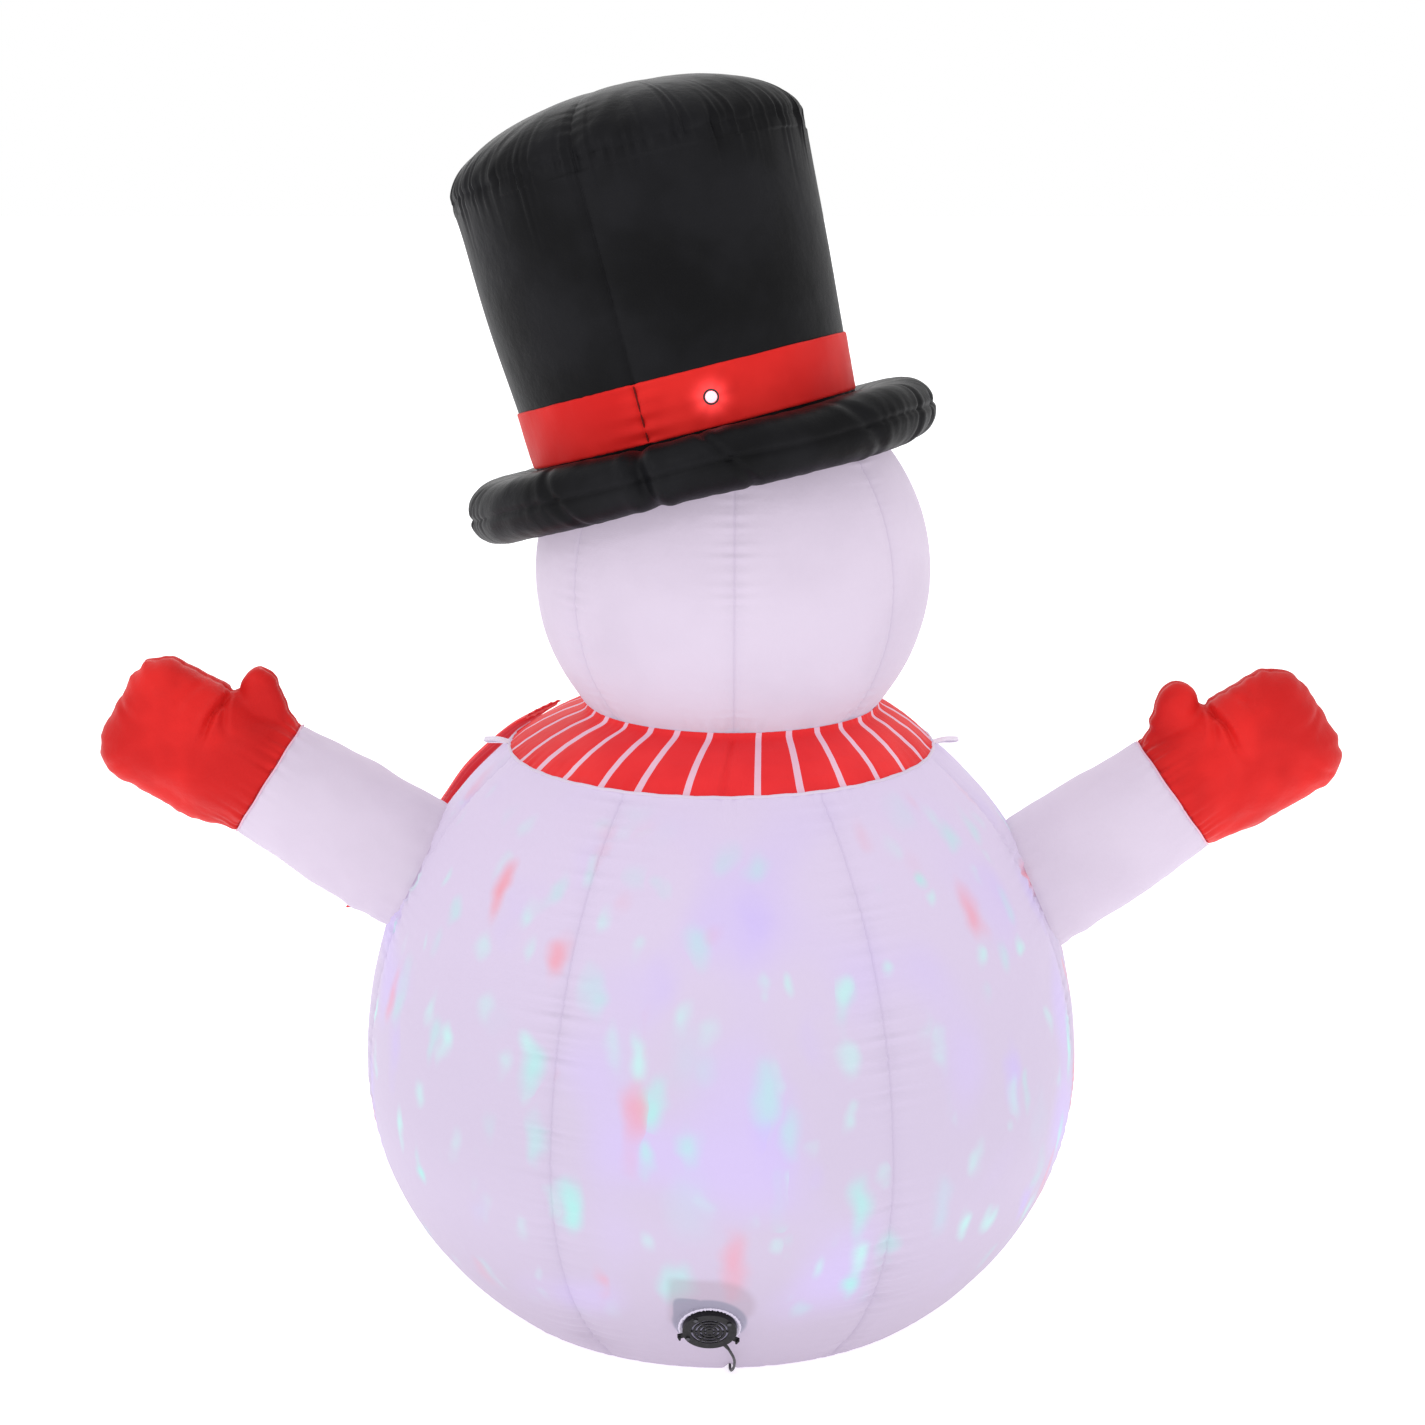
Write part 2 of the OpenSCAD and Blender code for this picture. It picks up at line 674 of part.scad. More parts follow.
body_envelope();
base_panel();
scarf_collar();
collar_piping();
scarf_knot();
tether_loop_left();
tether_loop_right();
shoulder_gusset_left();
shoulder_gusset_right();
coat_buttons();
blower_cuff();
blower_front_shell();
blower_rear_shell();
blower_screws();
blower_cap();
cap_screws();
blower_motor();
impeller();
impeller_shaft();
lead_gland();
lead_boot();
power_lead_run();
power_lead_coil();
power_adapter();
adapter_prongs();
hanger_strap();
projector_housing();
projector_motor();
projector_led_board();
projector_leds();
projector_lens_globe();
globe_shaft();
inner_light_lead();
head_envelope();
carrot_nose();
eyes();
mouth_dots();
hat_brim();
hat_crown();
hat_band();
hat_lamp_grommet();
hat_lamp_lens();
hat_lamp_lead();
sleeve_left();
mitten_left();
sleeve_right();
mitten_right();
scarf_tail();
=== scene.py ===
"""Inflatable yard snowman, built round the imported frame. Metres, +Z up, the face looks along -Y.

The fabric skins, the trim and the lead are mesh work; the blower and the projector are the frame's own nodes.
"""
import math

import bmesh
import bpy
import numpy as np
from mathutils import Matrix, Vector


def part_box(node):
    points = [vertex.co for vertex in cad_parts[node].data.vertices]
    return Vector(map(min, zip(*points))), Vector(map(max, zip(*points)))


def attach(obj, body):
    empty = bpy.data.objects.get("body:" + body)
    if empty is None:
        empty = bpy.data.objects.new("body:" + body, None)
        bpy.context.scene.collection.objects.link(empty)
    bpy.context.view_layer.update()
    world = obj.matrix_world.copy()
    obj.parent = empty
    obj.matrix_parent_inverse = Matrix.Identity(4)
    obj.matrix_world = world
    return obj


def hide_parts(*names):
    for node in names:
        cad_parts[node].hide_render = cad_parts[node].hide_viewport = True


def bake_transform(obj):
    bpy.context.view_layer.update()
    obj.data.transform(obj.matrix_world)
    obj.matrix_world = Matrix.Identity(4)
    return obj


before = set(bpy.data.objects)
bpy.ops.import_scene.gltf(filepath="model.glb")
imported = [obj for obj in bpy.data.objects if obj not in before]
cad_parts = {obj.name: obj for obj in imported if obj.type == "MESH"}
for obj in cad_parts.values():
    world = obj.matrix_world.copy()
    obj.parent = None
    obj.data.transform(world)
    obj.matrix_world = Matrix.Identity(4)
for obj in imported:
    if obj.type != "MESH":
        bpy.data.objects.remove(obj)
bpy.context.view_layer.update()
scene = bpy.context.scene

# --- driving sizes, the same as in the CAD source --------------------------------------------------
BALL_R, BALL_MID, BALL_LOW, BALL_UP = 0.539, 0.347, 0.470, 0.598
COLLAR_Z, NECK_Z = 0.833, 0.900
HEAD_R, HEAD_AT = 0.290, Vector((-0.017, 0.0, 1.093))
HAT_AT, HAT_TILT, HAT_LEAN = Vector((0.028, -0.016, 1.255)), math.radians(14.1), math.radians(5.5)
CROWN_R, CROWN_TOP_R, CROWN_LEN, DOME_H = 0.237, 0.262, 0.440, 0.103
BRIM_T, BAND_H = 0.090, 0.083
SLEEVE_R, WRIST_R, SLEEVE_LEN = 0.1045, 0.093, 0.242
ARMS = {
    "left": (Vector((0.473, 0.0, 0.646)), math.radians(32.7), 1.0),
    "right": (Vector((-0.480, 0.0, 0.613)), math.radians(35.4), -1.0),
}
BLOWER_AT, BLOWER_TILT = Vector((0.017, 0.472, 0.121)), math.radians(27)
LAMP_TURN = math.radians(9.6)
TAIL_TURN, KNOT_TURN = math.radians(22), math.radians(48)
GORES = 7


def ball_radius(z):
    half = np.where(z < BALL_MID, BALL_LOW, BALL_UP)
    return BALL_R * np.sqrt(np.maximum(1 - ((z - BALL_MID) / half) ** 2, 0))


HAT = Matrix.Translation(HAT_AT) @ Matrix.Rotation(HAT_TILT, 4, "Y") @ Matrix.Rotation(HAT_LEAN, 4, "X")
BLOWER = Matrix.Translation(BLOWER_AT) @ Matrix.Rotation(-math.pi / 2 - BLOWER_TILT, 4, "X")


def arm_matrix(side):
    """Columns: the arm's upper side, its front or rear, and the direction along the arm."""
    root, lift, sign = ARMS[side]
    along = Vector((sign * math.cos(lift), 0, math.sin(lift)))
    upper = Vector((-sign * math.sin(lift), 0, math.cos(lift)))
    across = along.cross(upper)
    m = Matrix.Identity(4)
    for column, v in enumerate((upper, across, along)):
        for row in range(3):
            m[row][column] = v[row]
    return Matrix.Translation(root) @ m


# --- camera ----------------------------------------------------------------------------------------
CAMERA_AT, LENS_MM, SENSOR_MM = (0.013, 3.644, 1.748), 63.5, 36.0
LOOK_DOWN = 0.2345


def make_camera():
    """Behind the figure and a little above its middle."""
    data = bpy.data.cameras.new("camera")
    data.sensor_width = SENSOR_MM
    data.lens = LENS_MM
    camera = bpy.data.objects.new("camera", data)
    scene.collection.objects.link(camera)
    camera.location = CAMERA_AT
    camera.rotation_euler = (math.pi / 2 - LOOK_DOWN, 0, math.pi)
    scene.camera = camera


make_camera()


# --- mesh helpers ----------------------------------------------------------------------------------
def new_object(name, vertices, faces, smooth=True):
    mesh = bpy.data.meshes.new(name)
    mesh.from_pydata([tuple(map(float, v)) for v in vertices], [], faces)
    mesh.update()
    if smooth:
        mesh.shade_smooth()
    obj = bpy.data.objects.new(name, mesh)
    scene.collection.objects.link(obj)
    return obj


def read_points(mesh, field="co"):
    """The mesh's points, or its vertex normals, as rows of three."""
    values = np.empty(len(mesh.vertices) * 3)
    mesh.vertices.foreach_get(field, values)
    return values.reshape(-1, 3)


def write_points(mesh, points):
    mesh.vertices.foreach_set("co", points.ravel())
    mesh.update()


def line_normals(line):
    """Unit normals of an outline, on its right."""
    step = np.gradient(line, axis=0)
    normal = np.stack([step[:, 1], -step[:, 0]], 1)
    return normal / (np.linalg.norm(normal, axis=1)[:, None] + 1e-12)


def arc_length(line):
    return np.concatenate([[0], np.cumsum(np.linalg.norm(np.diff(line, axis=0), axis=1))])


def grid_faces(rows, columns, wrap=True, flip=False):
    """Quads of a grid whose vertex number is row * columns + column."""
    last = columns if wrap else columns - 1
    faces = []
    for i in range(rows - 1):
        for j in range(last):
            k = (j + 1) % columns
            quad = (i * columns + j, i * columns + k, (i + 1) * columns + k, (i + 1) * columns + j)
            faces.append(quad[::-1] if flip else quad)
    return faces


def placed(points, matrix):
    m = np.array(matrix)
    return points @ m[:3, :3].T + m[:3, 3]


class Ripple:
    """Smooth repeatable noise: a few sine waves with fixed random directions and phases."""

    def __init__(self, seed, count=9):
        rng = np.random.default_rng(seed)
        self.way = rng.normal(size=(count, 3))
        self.way /= np.linalg.norm(self.way, axis=1)[:, None]
        self.phase = rng.uniform(0, 2 * math.pi, count)
        self.pitch = rng.uniform(0.7, 1.4, count)

    def __call__(self, points, length):
        """About -1 to 1, with features of that length."""
        turns = points @ self.way.T * self.pitch * 2 * math.pi / length
        return np.sin(turns + self.phase).sum(-1) / math.sqrt(len(self.phase)) * 0.8


def wave(x, length, seed, count=4):
    """The same along one line: an uneven train of waves about that long."""
    rng = np.random.default_rng(seed)
    total = 0
    for _ in range(count):
        total = total + np.sin(2 * math.pi * x / (length * rng.uniform(0.6, 1.7)) + rng.uniform(0, 6.28))
    return total / count ** 0.5


def seam_distance(turn, seams):
    """Angle to the nearest seam, and that seam's number."""
    off = np.abs((turn[..., None] - np.array(seams) + math.pi) % (2 * math.pi) - math.pi)
    return off.min(-1), off.argmin(-1)


def clustered_turns(seams, per_gore, power=1.7):
    """Angles round a lathe, closer together near each seam."""
    out = []
    edges = sorted(seams)
    for a, b in zip(edges, edges[1:] + [edges[0] + 2 * math.pi]):
        t = np.linspace(-1, 1, per_gore, endpoint=False)
        t = np.sign(t) * (1 - (1 - np.abs(t)) ** power)
        out.append((a + b) / 2 + t * (b - a) / 2)
    return np.concatenate(out)


def lathe(name, profile, turns, offset, matrix=None):
    """Revolves (radius, height) points about +Z. offset(turn, points, arc) moves each along its normal."""
    profile = np.asarray(profile, float)
    normal = line_normals(profile)
    arc = arc_length(profile)
    t, a = np.meshgrid(turns, arc)
    radius, height = profile[:, 0][:, None] + 0 * t, profile[:, 1][:, None] + 0 * t
    points = np.stack([radius * np.sin(t), radius * np.cos(t), height], -1)
    push = offset(t, points, a)
    out = np.stack([normal[:, 0][:, None] * np.sin(t), normal[:, 0][:, None] * np.cos(t),
                    normal[:, 1][:, None] + 0 * t], -1)
    points = points + push[..., None] * out
    flat = points.reshape(-1, 3)
    if matrix is not None:
        flat = placed(flat, matrix)
    return new_object(name, flat, grid_faces(len(profile), len(turns), True, True))


def even(profile, step):
    """The same outline with points that far apart."""
    profile = np.asarray(profile, float)
    arc = arc_length(profile)
    at = np.linspace(0, arc[-1], max(3, int(round(arc[-1] / step)) + 1))
    return np.stack([np.interp(at, arc, profile[:, k]) for k in (0, 1)], 1)


def bump_of(distance, width):
    return np.exp(-((distance / width) ** 2))


# --- node materials --------------------------------------------------------------------------------
THREAD_PITCH = 4200.0


class Nodes:
    """A short way of writing a material's node tree."""

    def __init__(self, name):
        self.material = bpy.data.materials.new(name)
        self.material.use_nodes = True
        self.tree = self.material.node_tree
        self.shader = self.tree.nodes["Principled BSDF"]

    def new(self, kind, **values):
        node = self.tree.nodes.new(kind)
        for key, value in values.items():
            setattr(node, key, value)
        return node

    def put(self, socket, value):
        """Links a socket to another, or sets its number."""
        if isinstance(value, bpy.types.NodeSocket):
            self.tree.links.new(value, socket)
        else:
            socket.default_value = value

    def math(self, operation, a, b=0.0, c=None):
        node = self.new("ShaderNodeMath", operation=operation)
        self.put(node.inputs[0], a)
        self.put(node.inputs[1], b)
        if c is not None:
            self.put(node.inputs[2], c)
        return node.outputs[0]

    def times(self, a, b):
        return self.math("MULTIPLY", a, b)

    def hypot(self, a, b):
        return self.math("SQRT", self.math("ADD", self.times(a, a), self.times(b, b)))

    def mix(self, factor, a, b):
        node = self.new("ShaderNodeMix", data_type="RGBA")
        self.put(node.inputs["Factor"], factor)
        self.put(node.inputs[6], a)
        self.put(node.inputs[7], b)
        return node.outputs[2]

    def dim(self, colour, share):
        """The colour times a number."""
        node = self.new("ShaderNodeVectorMath", operation="SCALE")
        self.put(node.inputs[0], colour)
        self.put(node.inputs["Scale"], share)
        return node.outputs[0]

    def place(self, matrix=None, scale=(1, 1, 1)):
        """Object coordinates, taken into a local frame if one is given."""
        at = self.new("ShaderNodeTexCoord").outputs["Object"]
        node = self.new("ShaderNodeMapping")
        if matrix is not None:
            back = matrix.inverted()
            node.inputs["Location"].default_value = back.to_translation()
            node.inputs["Rotation"].default_value = back.to_euler("XYZ")
        node.inputs["Scale"].default_value = scale
        self.put(node.inputs["Vector"], at)
        return node.outputs[0]

    def xyz(self, vector):
        node = self.new("ShaderNodeSeparateXYZ")
        self.put(node.inputs[0], vector)
        return node.outputs[:3]

    def noise(self, vector, scale, detail=3.0, roughness=0.5):
        node = self.new("ShaderNodeTexNoise")
        self.put(node.inputs["Vector"], vector)
        node.inputs["Scale"].default_value = scale
        node.inputs["Detail"].default_value = detail
        node.inputs["Roughness"].default_value = roughness
        return node.outputs["Fac"]

    def ridges(self, vector, scale):
        """Noise in thin crests, for creases."""
        node = self.new("ShaderNodeTexNoise", noise_type="RIDGED_MULTIFRACTAL")
        self.put(node.inputs["Vector"], vector)
        node.inputs["Scale"].default_value = scale
        node.inputs["Detail"].default_value = 3.0
        return node.outputs["Fac"]

    def cells(self, vector, scale, distance="EUCLIDEAN"):
        node = self.new("ShaderNodeTexVoronoi", distance=distance)
        node.inputs["Scale"].default_value = scale
        self.put(node.inputs["Vector"], vector)
        return node.outputs

    def threads(self, vector):
        """A plain weave's warp and weft."""
        x, y, z = self.xyz(vector)
        return self.times(self.math("SINE", self.times(self.math("ADD", x, y), THREAD_PITCH)),
                          self.math("SINE", self.times(z, THREAD_PITCH)))

    def ramp(self, value, low, high, a=0.0, b=1.0):
        """Smoothly from a to b as value goes from low to high."""
        node = self.new("ShaderNodeMapRange", interpolation_type="SMOOTHSTEP")
        for key, v in zip(("Value", "From Min", "From Max", "To Min", "To Max"), (value, low, high, a, b)):
            self.put(node.inputs[key], v)
        return node.outputs[0]

    def bump(self, height, distance, strength, under=None):
        node = self.new("ShaderNodeBump")
        node.inputs["Strength"].default_value = strength
        node.inputs["Distance"].default_value = distance
        self.put(node.inputs["Height"], height)
        if under is not None:
            self.put(node.inputs["Normal"], under)
        return node.outputs[0]

    def set(self, **values):
        names = {"color": "Base Color", "rough": "Roughness", "metal": "Metallic", "sheen": "Sheen Weight",
                 "coat": "Coat Weight", "glow": "Emission Color", "power": "Emission Strength",
                 "clear": "Transmission Weight", "ior": "IOR", "normal": "Normal", "alpha": "Alpha",
                 "specular": "Specular IOR Level"}
        for key, value in values.items():
            self.put(self.shader.inputs[names[key]], value)
        return self.material


def rgb(r, g, b):
    """A colour as seen on a screen, 0 to 255, made linear."""
    return tuple((v / 255 / 12.92 if v <= 10 else ((v / 255 + 0.055) / 1.055) ** 2.4)
                 for v in (r, g, b)) + (1.0,)


def brighter(colour, share, lift=0.0):
    return tuple(min(c * share + lift, 1.0) for c in colour[:3]) + (1.0,)


def weave_bump(n, at, crinkle):
    """Coated taffeta: a fine plain weave over fine creases and a slight ripple of the cloth."""
    creased = n.bump(n.ridges(at, 21.0), crinkle, 0.6)
    low = n.bump(n.noise(at, 38.0, 4.0, 0.55), 0.0022, 0.55, creased)
    return n.bump(n.threads(at), 0.00012, 0.35, low)


# --- cloth materials -------------------------------------------------------------------------------
def light_spots(n, at, colour_now, colour, seed, pitch, stretch, share, size, amount):
    """Mixes in painted light: soft coloured spots of the projector's light, stretched up and down, one to
    some of a Voronoi pattern's cells.
    """
    height = n.xyz(at)[2]
    drift = n.new("ShaderNodeTexNoise")
    n.put(drift.inputs["Vector"], at)
    drift.inputs["Scale"].default_value = 11.0
    push = n.new("ShaderNodeVectorMath", operation="MULTIPLY_ADD")
    n.put(push.inputs[0], drift.outputs["Color"])
    push.inputs[1].default_value = (0.06, 0.06, 0.12)
    n.put(push.inputs[2], at)
    turn = n.new("ShaderNodeMapping")
    turn.inputs["Location"].default_value = (seed * 1.7, seed * 0.9, seed * 2.3)
    turn.inputs["Rotation"].default_value = (0.12 * seed, 0.35 - 0.2 * seed, 0.0)
    turn.inputs["Scale"].default_value = (1.0, 1.0, stretch)
    n.put(turn.inputs["Vector"], push.outputs[0])
    cells = n.cells(turn.outputs[0], pitch)
    pick = n.xyz(cells["Color"])
    present = n.ramp(pick[0], share, share - 0.04)
    own_size = n.math("MULTIPLY_ADD", pick[1], size * 0.6, size * 0.6)
    spot = n.ramp(cells["Distance"], own_size, n.times(own_size, 0.05))
    low = n.times(n.ramp(height, 0.10, 0.20), n.ramp(height, 0.85, 0.66))
    mask = n.times(n.times(spot, present), low)
    strength = n.math("MULTIPLY_ADD", pick[2], amount * 0.6, amount * 0.4)
    return n.mix(n.times(mask, strength), colour_now, colour)


def blower_shadow(n, colour):
    """The painted shadow of the scroll and its duct, seen as grey shapes through the cloth."""
    lx, ly, lz = n.xyz(n.place(BLOWER))

    def box(x0, x1, y0, y1, soft):
        wide = n.math("SUBTRACT", n.math("ABSOLUTE", n.math("SUBTRACT", lx, (x0 + x1) / 2)), (x1 - x0) / 2)
        tall = n.math("SUBTRACT", n.math("ABSOLUTE", n.math("SUBTRACT", ly, (y0 + y1) / 2)), (y1 - y0) / 2)
        return n.ramp(n.math("SMOOTH_MAX", wide, tall, 0.02), soft, -soft)

    def disc(x0, y0, r, soft):
        dx, dy = n.math("SUBTRACT", lx, x0), n.math("SUBTRACT", ly, y0)
        return n.ramp(n.hypot(dx, dy), r + soft, r - soft)

    near = n.ramp(n.math("ABSOLUTE", lz), 0.17, 0.12)
    pale = n.math("MAXIMUM", box(-0.022, 0.056, -0.098, 0.0, 0.007), disc(-0.012, -0.046, 0.050, 0.008))
    colour = n.mix(n.times(n.times(pale, near), 0.40), colour, rgb(172, 152, 166))
    dark = n.math("MAXIMUM", box(0.008, 0.050, -0.060, 0.0, 0.002), disc(0.000, -0.008, 0.0515, 0.003))
    return n.mix(n.times(n.times(dark, near), 0.62), colour, rgb(134, 138, 160))


def seam_lines(n, at, colour, centre_x, first):
    """Painted shade along the seams: darker lines where the gores' doubled cloth holds the light back, and a
    faint wider band beside each seam.
    """
    x, y = n.xyz(at)[:2]
    x = n.math("SUBTRACT", x, centre_x)
    step = 2 * math.pi / GORES
    turn = n.math("DIVIDE", n.math("SUBTRACT", n.math("ARCTAN2", x, y), first), step)
    off = n.math("ABSOLUTE", n.math("SUBTRACT", n.math("FRACT", n.math("ADD", turn, GORES + 0.5)), 0.5))
    across = n.times(n.times(off, step), n.hypot(x, y))
    # Painted shade: a thin dark line on the seam and a faint wider band beside it.
    line = n.times(n.ramp(across, 0.0024, 0.0008), 0.11)
    return n.mix(n.math("ADD", line, n.times(n.ramp(across, 0.022, 0.0), 0.05)), colour, rgb(172, 160, 190))


# Painted pools of the projector's light: colour, seed, pitch, stretch, share, size, amount.
LIGHT_SPOTS = [
    (rgb(210, 192, 254), 3.0, 9.5, 0.42, 0.60, 0.42, 0.75),
    (rgb(196, 222, 236), 5.0, 9.0, 0.5, 0.40, 0.40, 0.6),
    (rgb(176, 240, 234), 1.0, 14.0, 0.42, 0.74, 0.37, 1.0),
    (rgb(196, 244, 240), 4.0, 20.0, 0.45, 0.60, 0.38, 0.95),
    (rgb(247, 154, 172), 2.0, 11.5, 0.23, 0.40, 0.33, 1.0),
    (rgb(247, 156, 170), 3.3, 11.0, 0.24, 0.42, 0.32, 1.0),
]


def lit_from_inside(n, at, height):
    """The ball's colour: painted shade at the base and painted light towards the top, a cloud of painted
    glow, the projector's painted light patches and the blower's painted shadow behind it.
    """
    # Painted shade and light: darker at the base, paler towards the top.
    colour = n.mix(n.ramp(height, 0.0, 0.30), rgb(196, 182, 203), rgb(214, 201, 226))
    colour = n.mix(n.ramp(height, 0.35, 0.84), colour, rgb(227, 212, 240))
    # A cloud of painted glow in the middle band of the ball.
    cloud = n.ramp(n.noise(at, 4.2, 1.0), 0.50, 0.70, 0.0, 0.75)
    low = n.times(n.ramp(height, 0.08, 0.2), n.ramp(height, 0.86, 0.7))
    colour = n.mix(n.times(cloud, low), colour, rgb(217, 200, 250))
    for spots in LIGHT_SPOTS:
        colour = light_spots(n, at, colour, *spots)
    return blower_shadow(n, colour)


def white_cloth(name, tint=(223, 209, 229), lights=False, body=0.475, crinkle=0.0004, seams=None):
    """White coated taffeta lit from inside, tinted lavender; part of its colour is emitted, a painted glow
    that flattens its shading.
    """
    n = Nodes(name)
    at = n.place()
    if lights:
        colour = lit_from_inside(n, at, n.xyz(at)[2])
    else:
        mottle = n.ramp(n.noise(at, 5.0), 0.35, 0.65)
        colour = n.mix(mottle, rgb(*(v - 3 for v in tint)), rgb(*(min(v + 3, 255) for v in tint)))
    if seams:
        colour = seam_lines(n, at, colour, *seams)
    return n.set(color=n.dim(colour, body), rough=0.6, sheen=0.05, specular=0.15, glow=colour, power=0.42,
                 normal=weave_bump(n, at, crinkle))


def satin(name, colour, dark, rough, wrinkle=0.0016, glow=0.0, lamp=False, sheen=0.03, body=0.72,
          specular=0.2):
    """Dyed satin-coated cloth with soft wrinkles; part of its colour is emitted as a painted glow, and with
    lamp the cloth round the hat lamp takes a painted pool of its light.
    """
    n = Nodes(name)
    at = n.place()
    shade = n.mix(n.ramp(n.noise(at, 7.0, 3.0), 0.35, 0.68), dark, colour)
    low = n.bump(n.noise(at, 26.0, 5.0, 0.6), wrinkle, 0.7, n.bump(n.ridges(at, 17.0), wrinkle * 0.5, 0.6))
    weave = n.bump(n.threads(at), 0.00010, 0.3, low)
    power = glow
    if lamp:
        # Painted light: a pink pool of the hat lamp's light on the cloth round it, partly emitted.
        lx, ly, lz = n.xyz(n.place(LAMP))
        near = n.math("POWER", n.ramp(n.hypot(lx, ly), 0.046, 0.004), 2.0)
        near = n.times(near, n.ramp(n.math("ABSOLUTE", lz), 0.05, 0.03))
        shade = n.mix(near, shade, rgb(255, 76, 76))
        power = n.math("MULTIPLY_ADD", near, 0.7, glow)
    return n.set(color=n.dim(shade, body), rough=rough, sheen=sheen, specular=specular, glow=shade,
                 power=power, normal=weave)


def lamp_matrix():
    s = BRIM_T / 2 + BAND_H / 2
    radius = CROWN_R + (CROWN_TOP_R - CROWN_R) * s / CROWN_LEN
    return (HAT @ Matrix.Rotation(math.pi / 2 + LAMP_TURN, 4, "Z") @ Matrix.Translation((radius, 0, s))
            @ Matrix.Rotation(math.pi / 2, 4, "Y"))


LAMP = lamp_matrix()
RED = (rgb(234, 40, 37), rgb(206, 28, 27))
M = {
    "white": white_cloth("white_taffeta", crinkle=0.0011),
    # Painted light: a paler copy of the white cloth, so the cuff reads brighter than its shading gives.
    "cuff": white_cloth("cuff_taffeta_painted_light", (226, 217, 238), body=0.50),
    "ball": white_cloth("lit_white_taffeta", lights=True, seams=(0.0, math.pi)),
    "head": white_cloth("head_taffeta", crinkle=0.0008, seams=(HEAD_AT.x, 0.0)),
    "red": satin("red_satin", *RED, rough=0.48, glow=0.10, body=0.74, specular=0.12, wrinkle=0.0030),
    # The band carries a painted pool of the hat lamp's light round the lamp.
    "band": satin("band_satin_painted_lamp_light", rgb(226, 42, 38), rgb(208, 30, 28), rough=0.5, lamp=True, glow=0.10,
                  body=0.84, specular=0.08),
    "collar_red": satin("collar_satin", rgb(236, 50, 52), rgb(224, 42, 46), rough=0.55, glow=0.14, body=0.84,
                        specular=0.12),
    "stripe": satin("stripe_satin", rgb(240, 196, 214), rgb(228, 184, 204), rough=0.6, glow=0.22,
                    wrinkle=0.0008),
    "black": satin("black_satin", rgb(27, 27, 30), rgb(14, 14, 16), rough=0.45, wrinkle=0.0026, sheen=0.0,
                   body=0.8, specular=0.08),
    # Painted light: a paler copy of the red that glows more, lifting the tail out of its shade.
    "tail": satin("tail_satin_painted_light", rgb(240, 62, 66), rgb(226, 52, 58), rough=0.5, glow=0.3, body=0.8,
                  specular=0.12),
    # Painted shade: a dark red strand, darker than the band, drawn in each seam to stand for the seam's
    # shade.
    "seam": satin("seam_thread_painted_shade", rgb(126, 20, 18), rgb(112, 16, 16), rough=0.7, glow=0.02),
    "orange": satin("orange_satin", rgb(240, 132, 44), rgb(222, 108, 30), rough=0.5, glow=0.06),
}


# --- lead ------------------------------------------------------------------------------------------
LEAD_D = 0.004
LEAD_RUN = [(-9, 456, 78.6), (-13, 449, 68), (-16, 439, 57), (-17.7, 428, 45.5), (-17.8, 417, 34.5),
            (-17, 406, 24), (-15.4, 395, 14.5), (-13.6, 383.5, 7), (-12.2, 371, 3), (-12, 358, 2),
            (-12, 340, 2), (-12, 310, 2), (-12, 270, 2), (-12, 220, 2), (-12, 160, 2), (-12, 100, 2),
            (-12, 40, 2), (-12, -20, 2), (-12, -80, 2), (-12, -140, 2), (-12, -200, 2), (-12, -255, 2),
            (-12, -300, 2), (-12, -340, 2), (-12, -370, 2), (-12, -392, 2), (-12, -409.2, 2)]
COIL_AT, COIL_R, COIL_IN = (-0.035, -0.430), 0.023, 0.019
ADAPTER_TIP = (-0.055, -0.455, 0.007)


def lead_route():
    """Down the back of the ball, under the base, then two turns in each of two layers and one on top."""
    points = [Vector(p) / 1000 for p in LEAD_RUN]
    per_turn = 28
    turns = 5.25
    for k in range(0, int(turns * per_turn) + 1):
        u = k / per_turn
        layer = min(int(u // 2), 2)
        inward = u - 2 * layer
        t = min(inward / (2.0 if layer < 2 else 1.25), 1.0)
        radius = COIL_R - (COIL_R - COIL_IN) * (t if layer != 1 else 1 - t)
        climb = min(max(inward, 0.0) / 0.18, 1.0) if layer else 1.0
        height = LEAD_D * (0.5 + layer - (1 - climb if layer else 0.0))
        a = -2 * math.pi * u
        points.append(Vector((COIL_AT[0] + radius * math.cos(a), COIL_AT[1] + radius * math.sin(a), height)))
    end = points[-1]
    tip = Vector(ADAPTER_TIP)
    for t in (0.3, 0.55, 0.8, 1.0):
        p = end.lerp(tip, t)
        p.z = end.z + (tip.z - end.z) * t ** 2
        points.append(p)
    return points


def smooth_path(points, parts=4):
    """Catmull-Rom points between the route's own."""
    out = []
    for i in range(len(points) - 1):
        a, b, c, d = (points[max(i - 1, 0)], points[i], points[i + 1], points[min(i + 2, len(points) - 1)])
        for k in range(parts):
            t = k / parts
            out.append(0.5 * (2 * b + (c - a) * t + (2 * a - 5 * b + 4 * c - d) * t ** 2
                              + (3 * b - a - 3 * c + d) * t ** 3))
    out.append(points[-1])
    return out


def tube_curve(name, points, radius):
    curve = bpy.data.curves.new(name, "CURVE")
    curve.dimensions = "3D"
    curve.bevel_depth = radius
    curve.bevel_resolution = 4
    curve.use_fill_caps = True
    spline = curve.splines.new("POLY")
    spline.points.add(len(points) - 1)
    for p, at in zip(spline.points, points):
        p.co = (*at, 1)
    spline.use_smooth = True
    obj = bpy.data.objects.new(name, curve)
    scene.collection.objects.link(obj)
    return obj


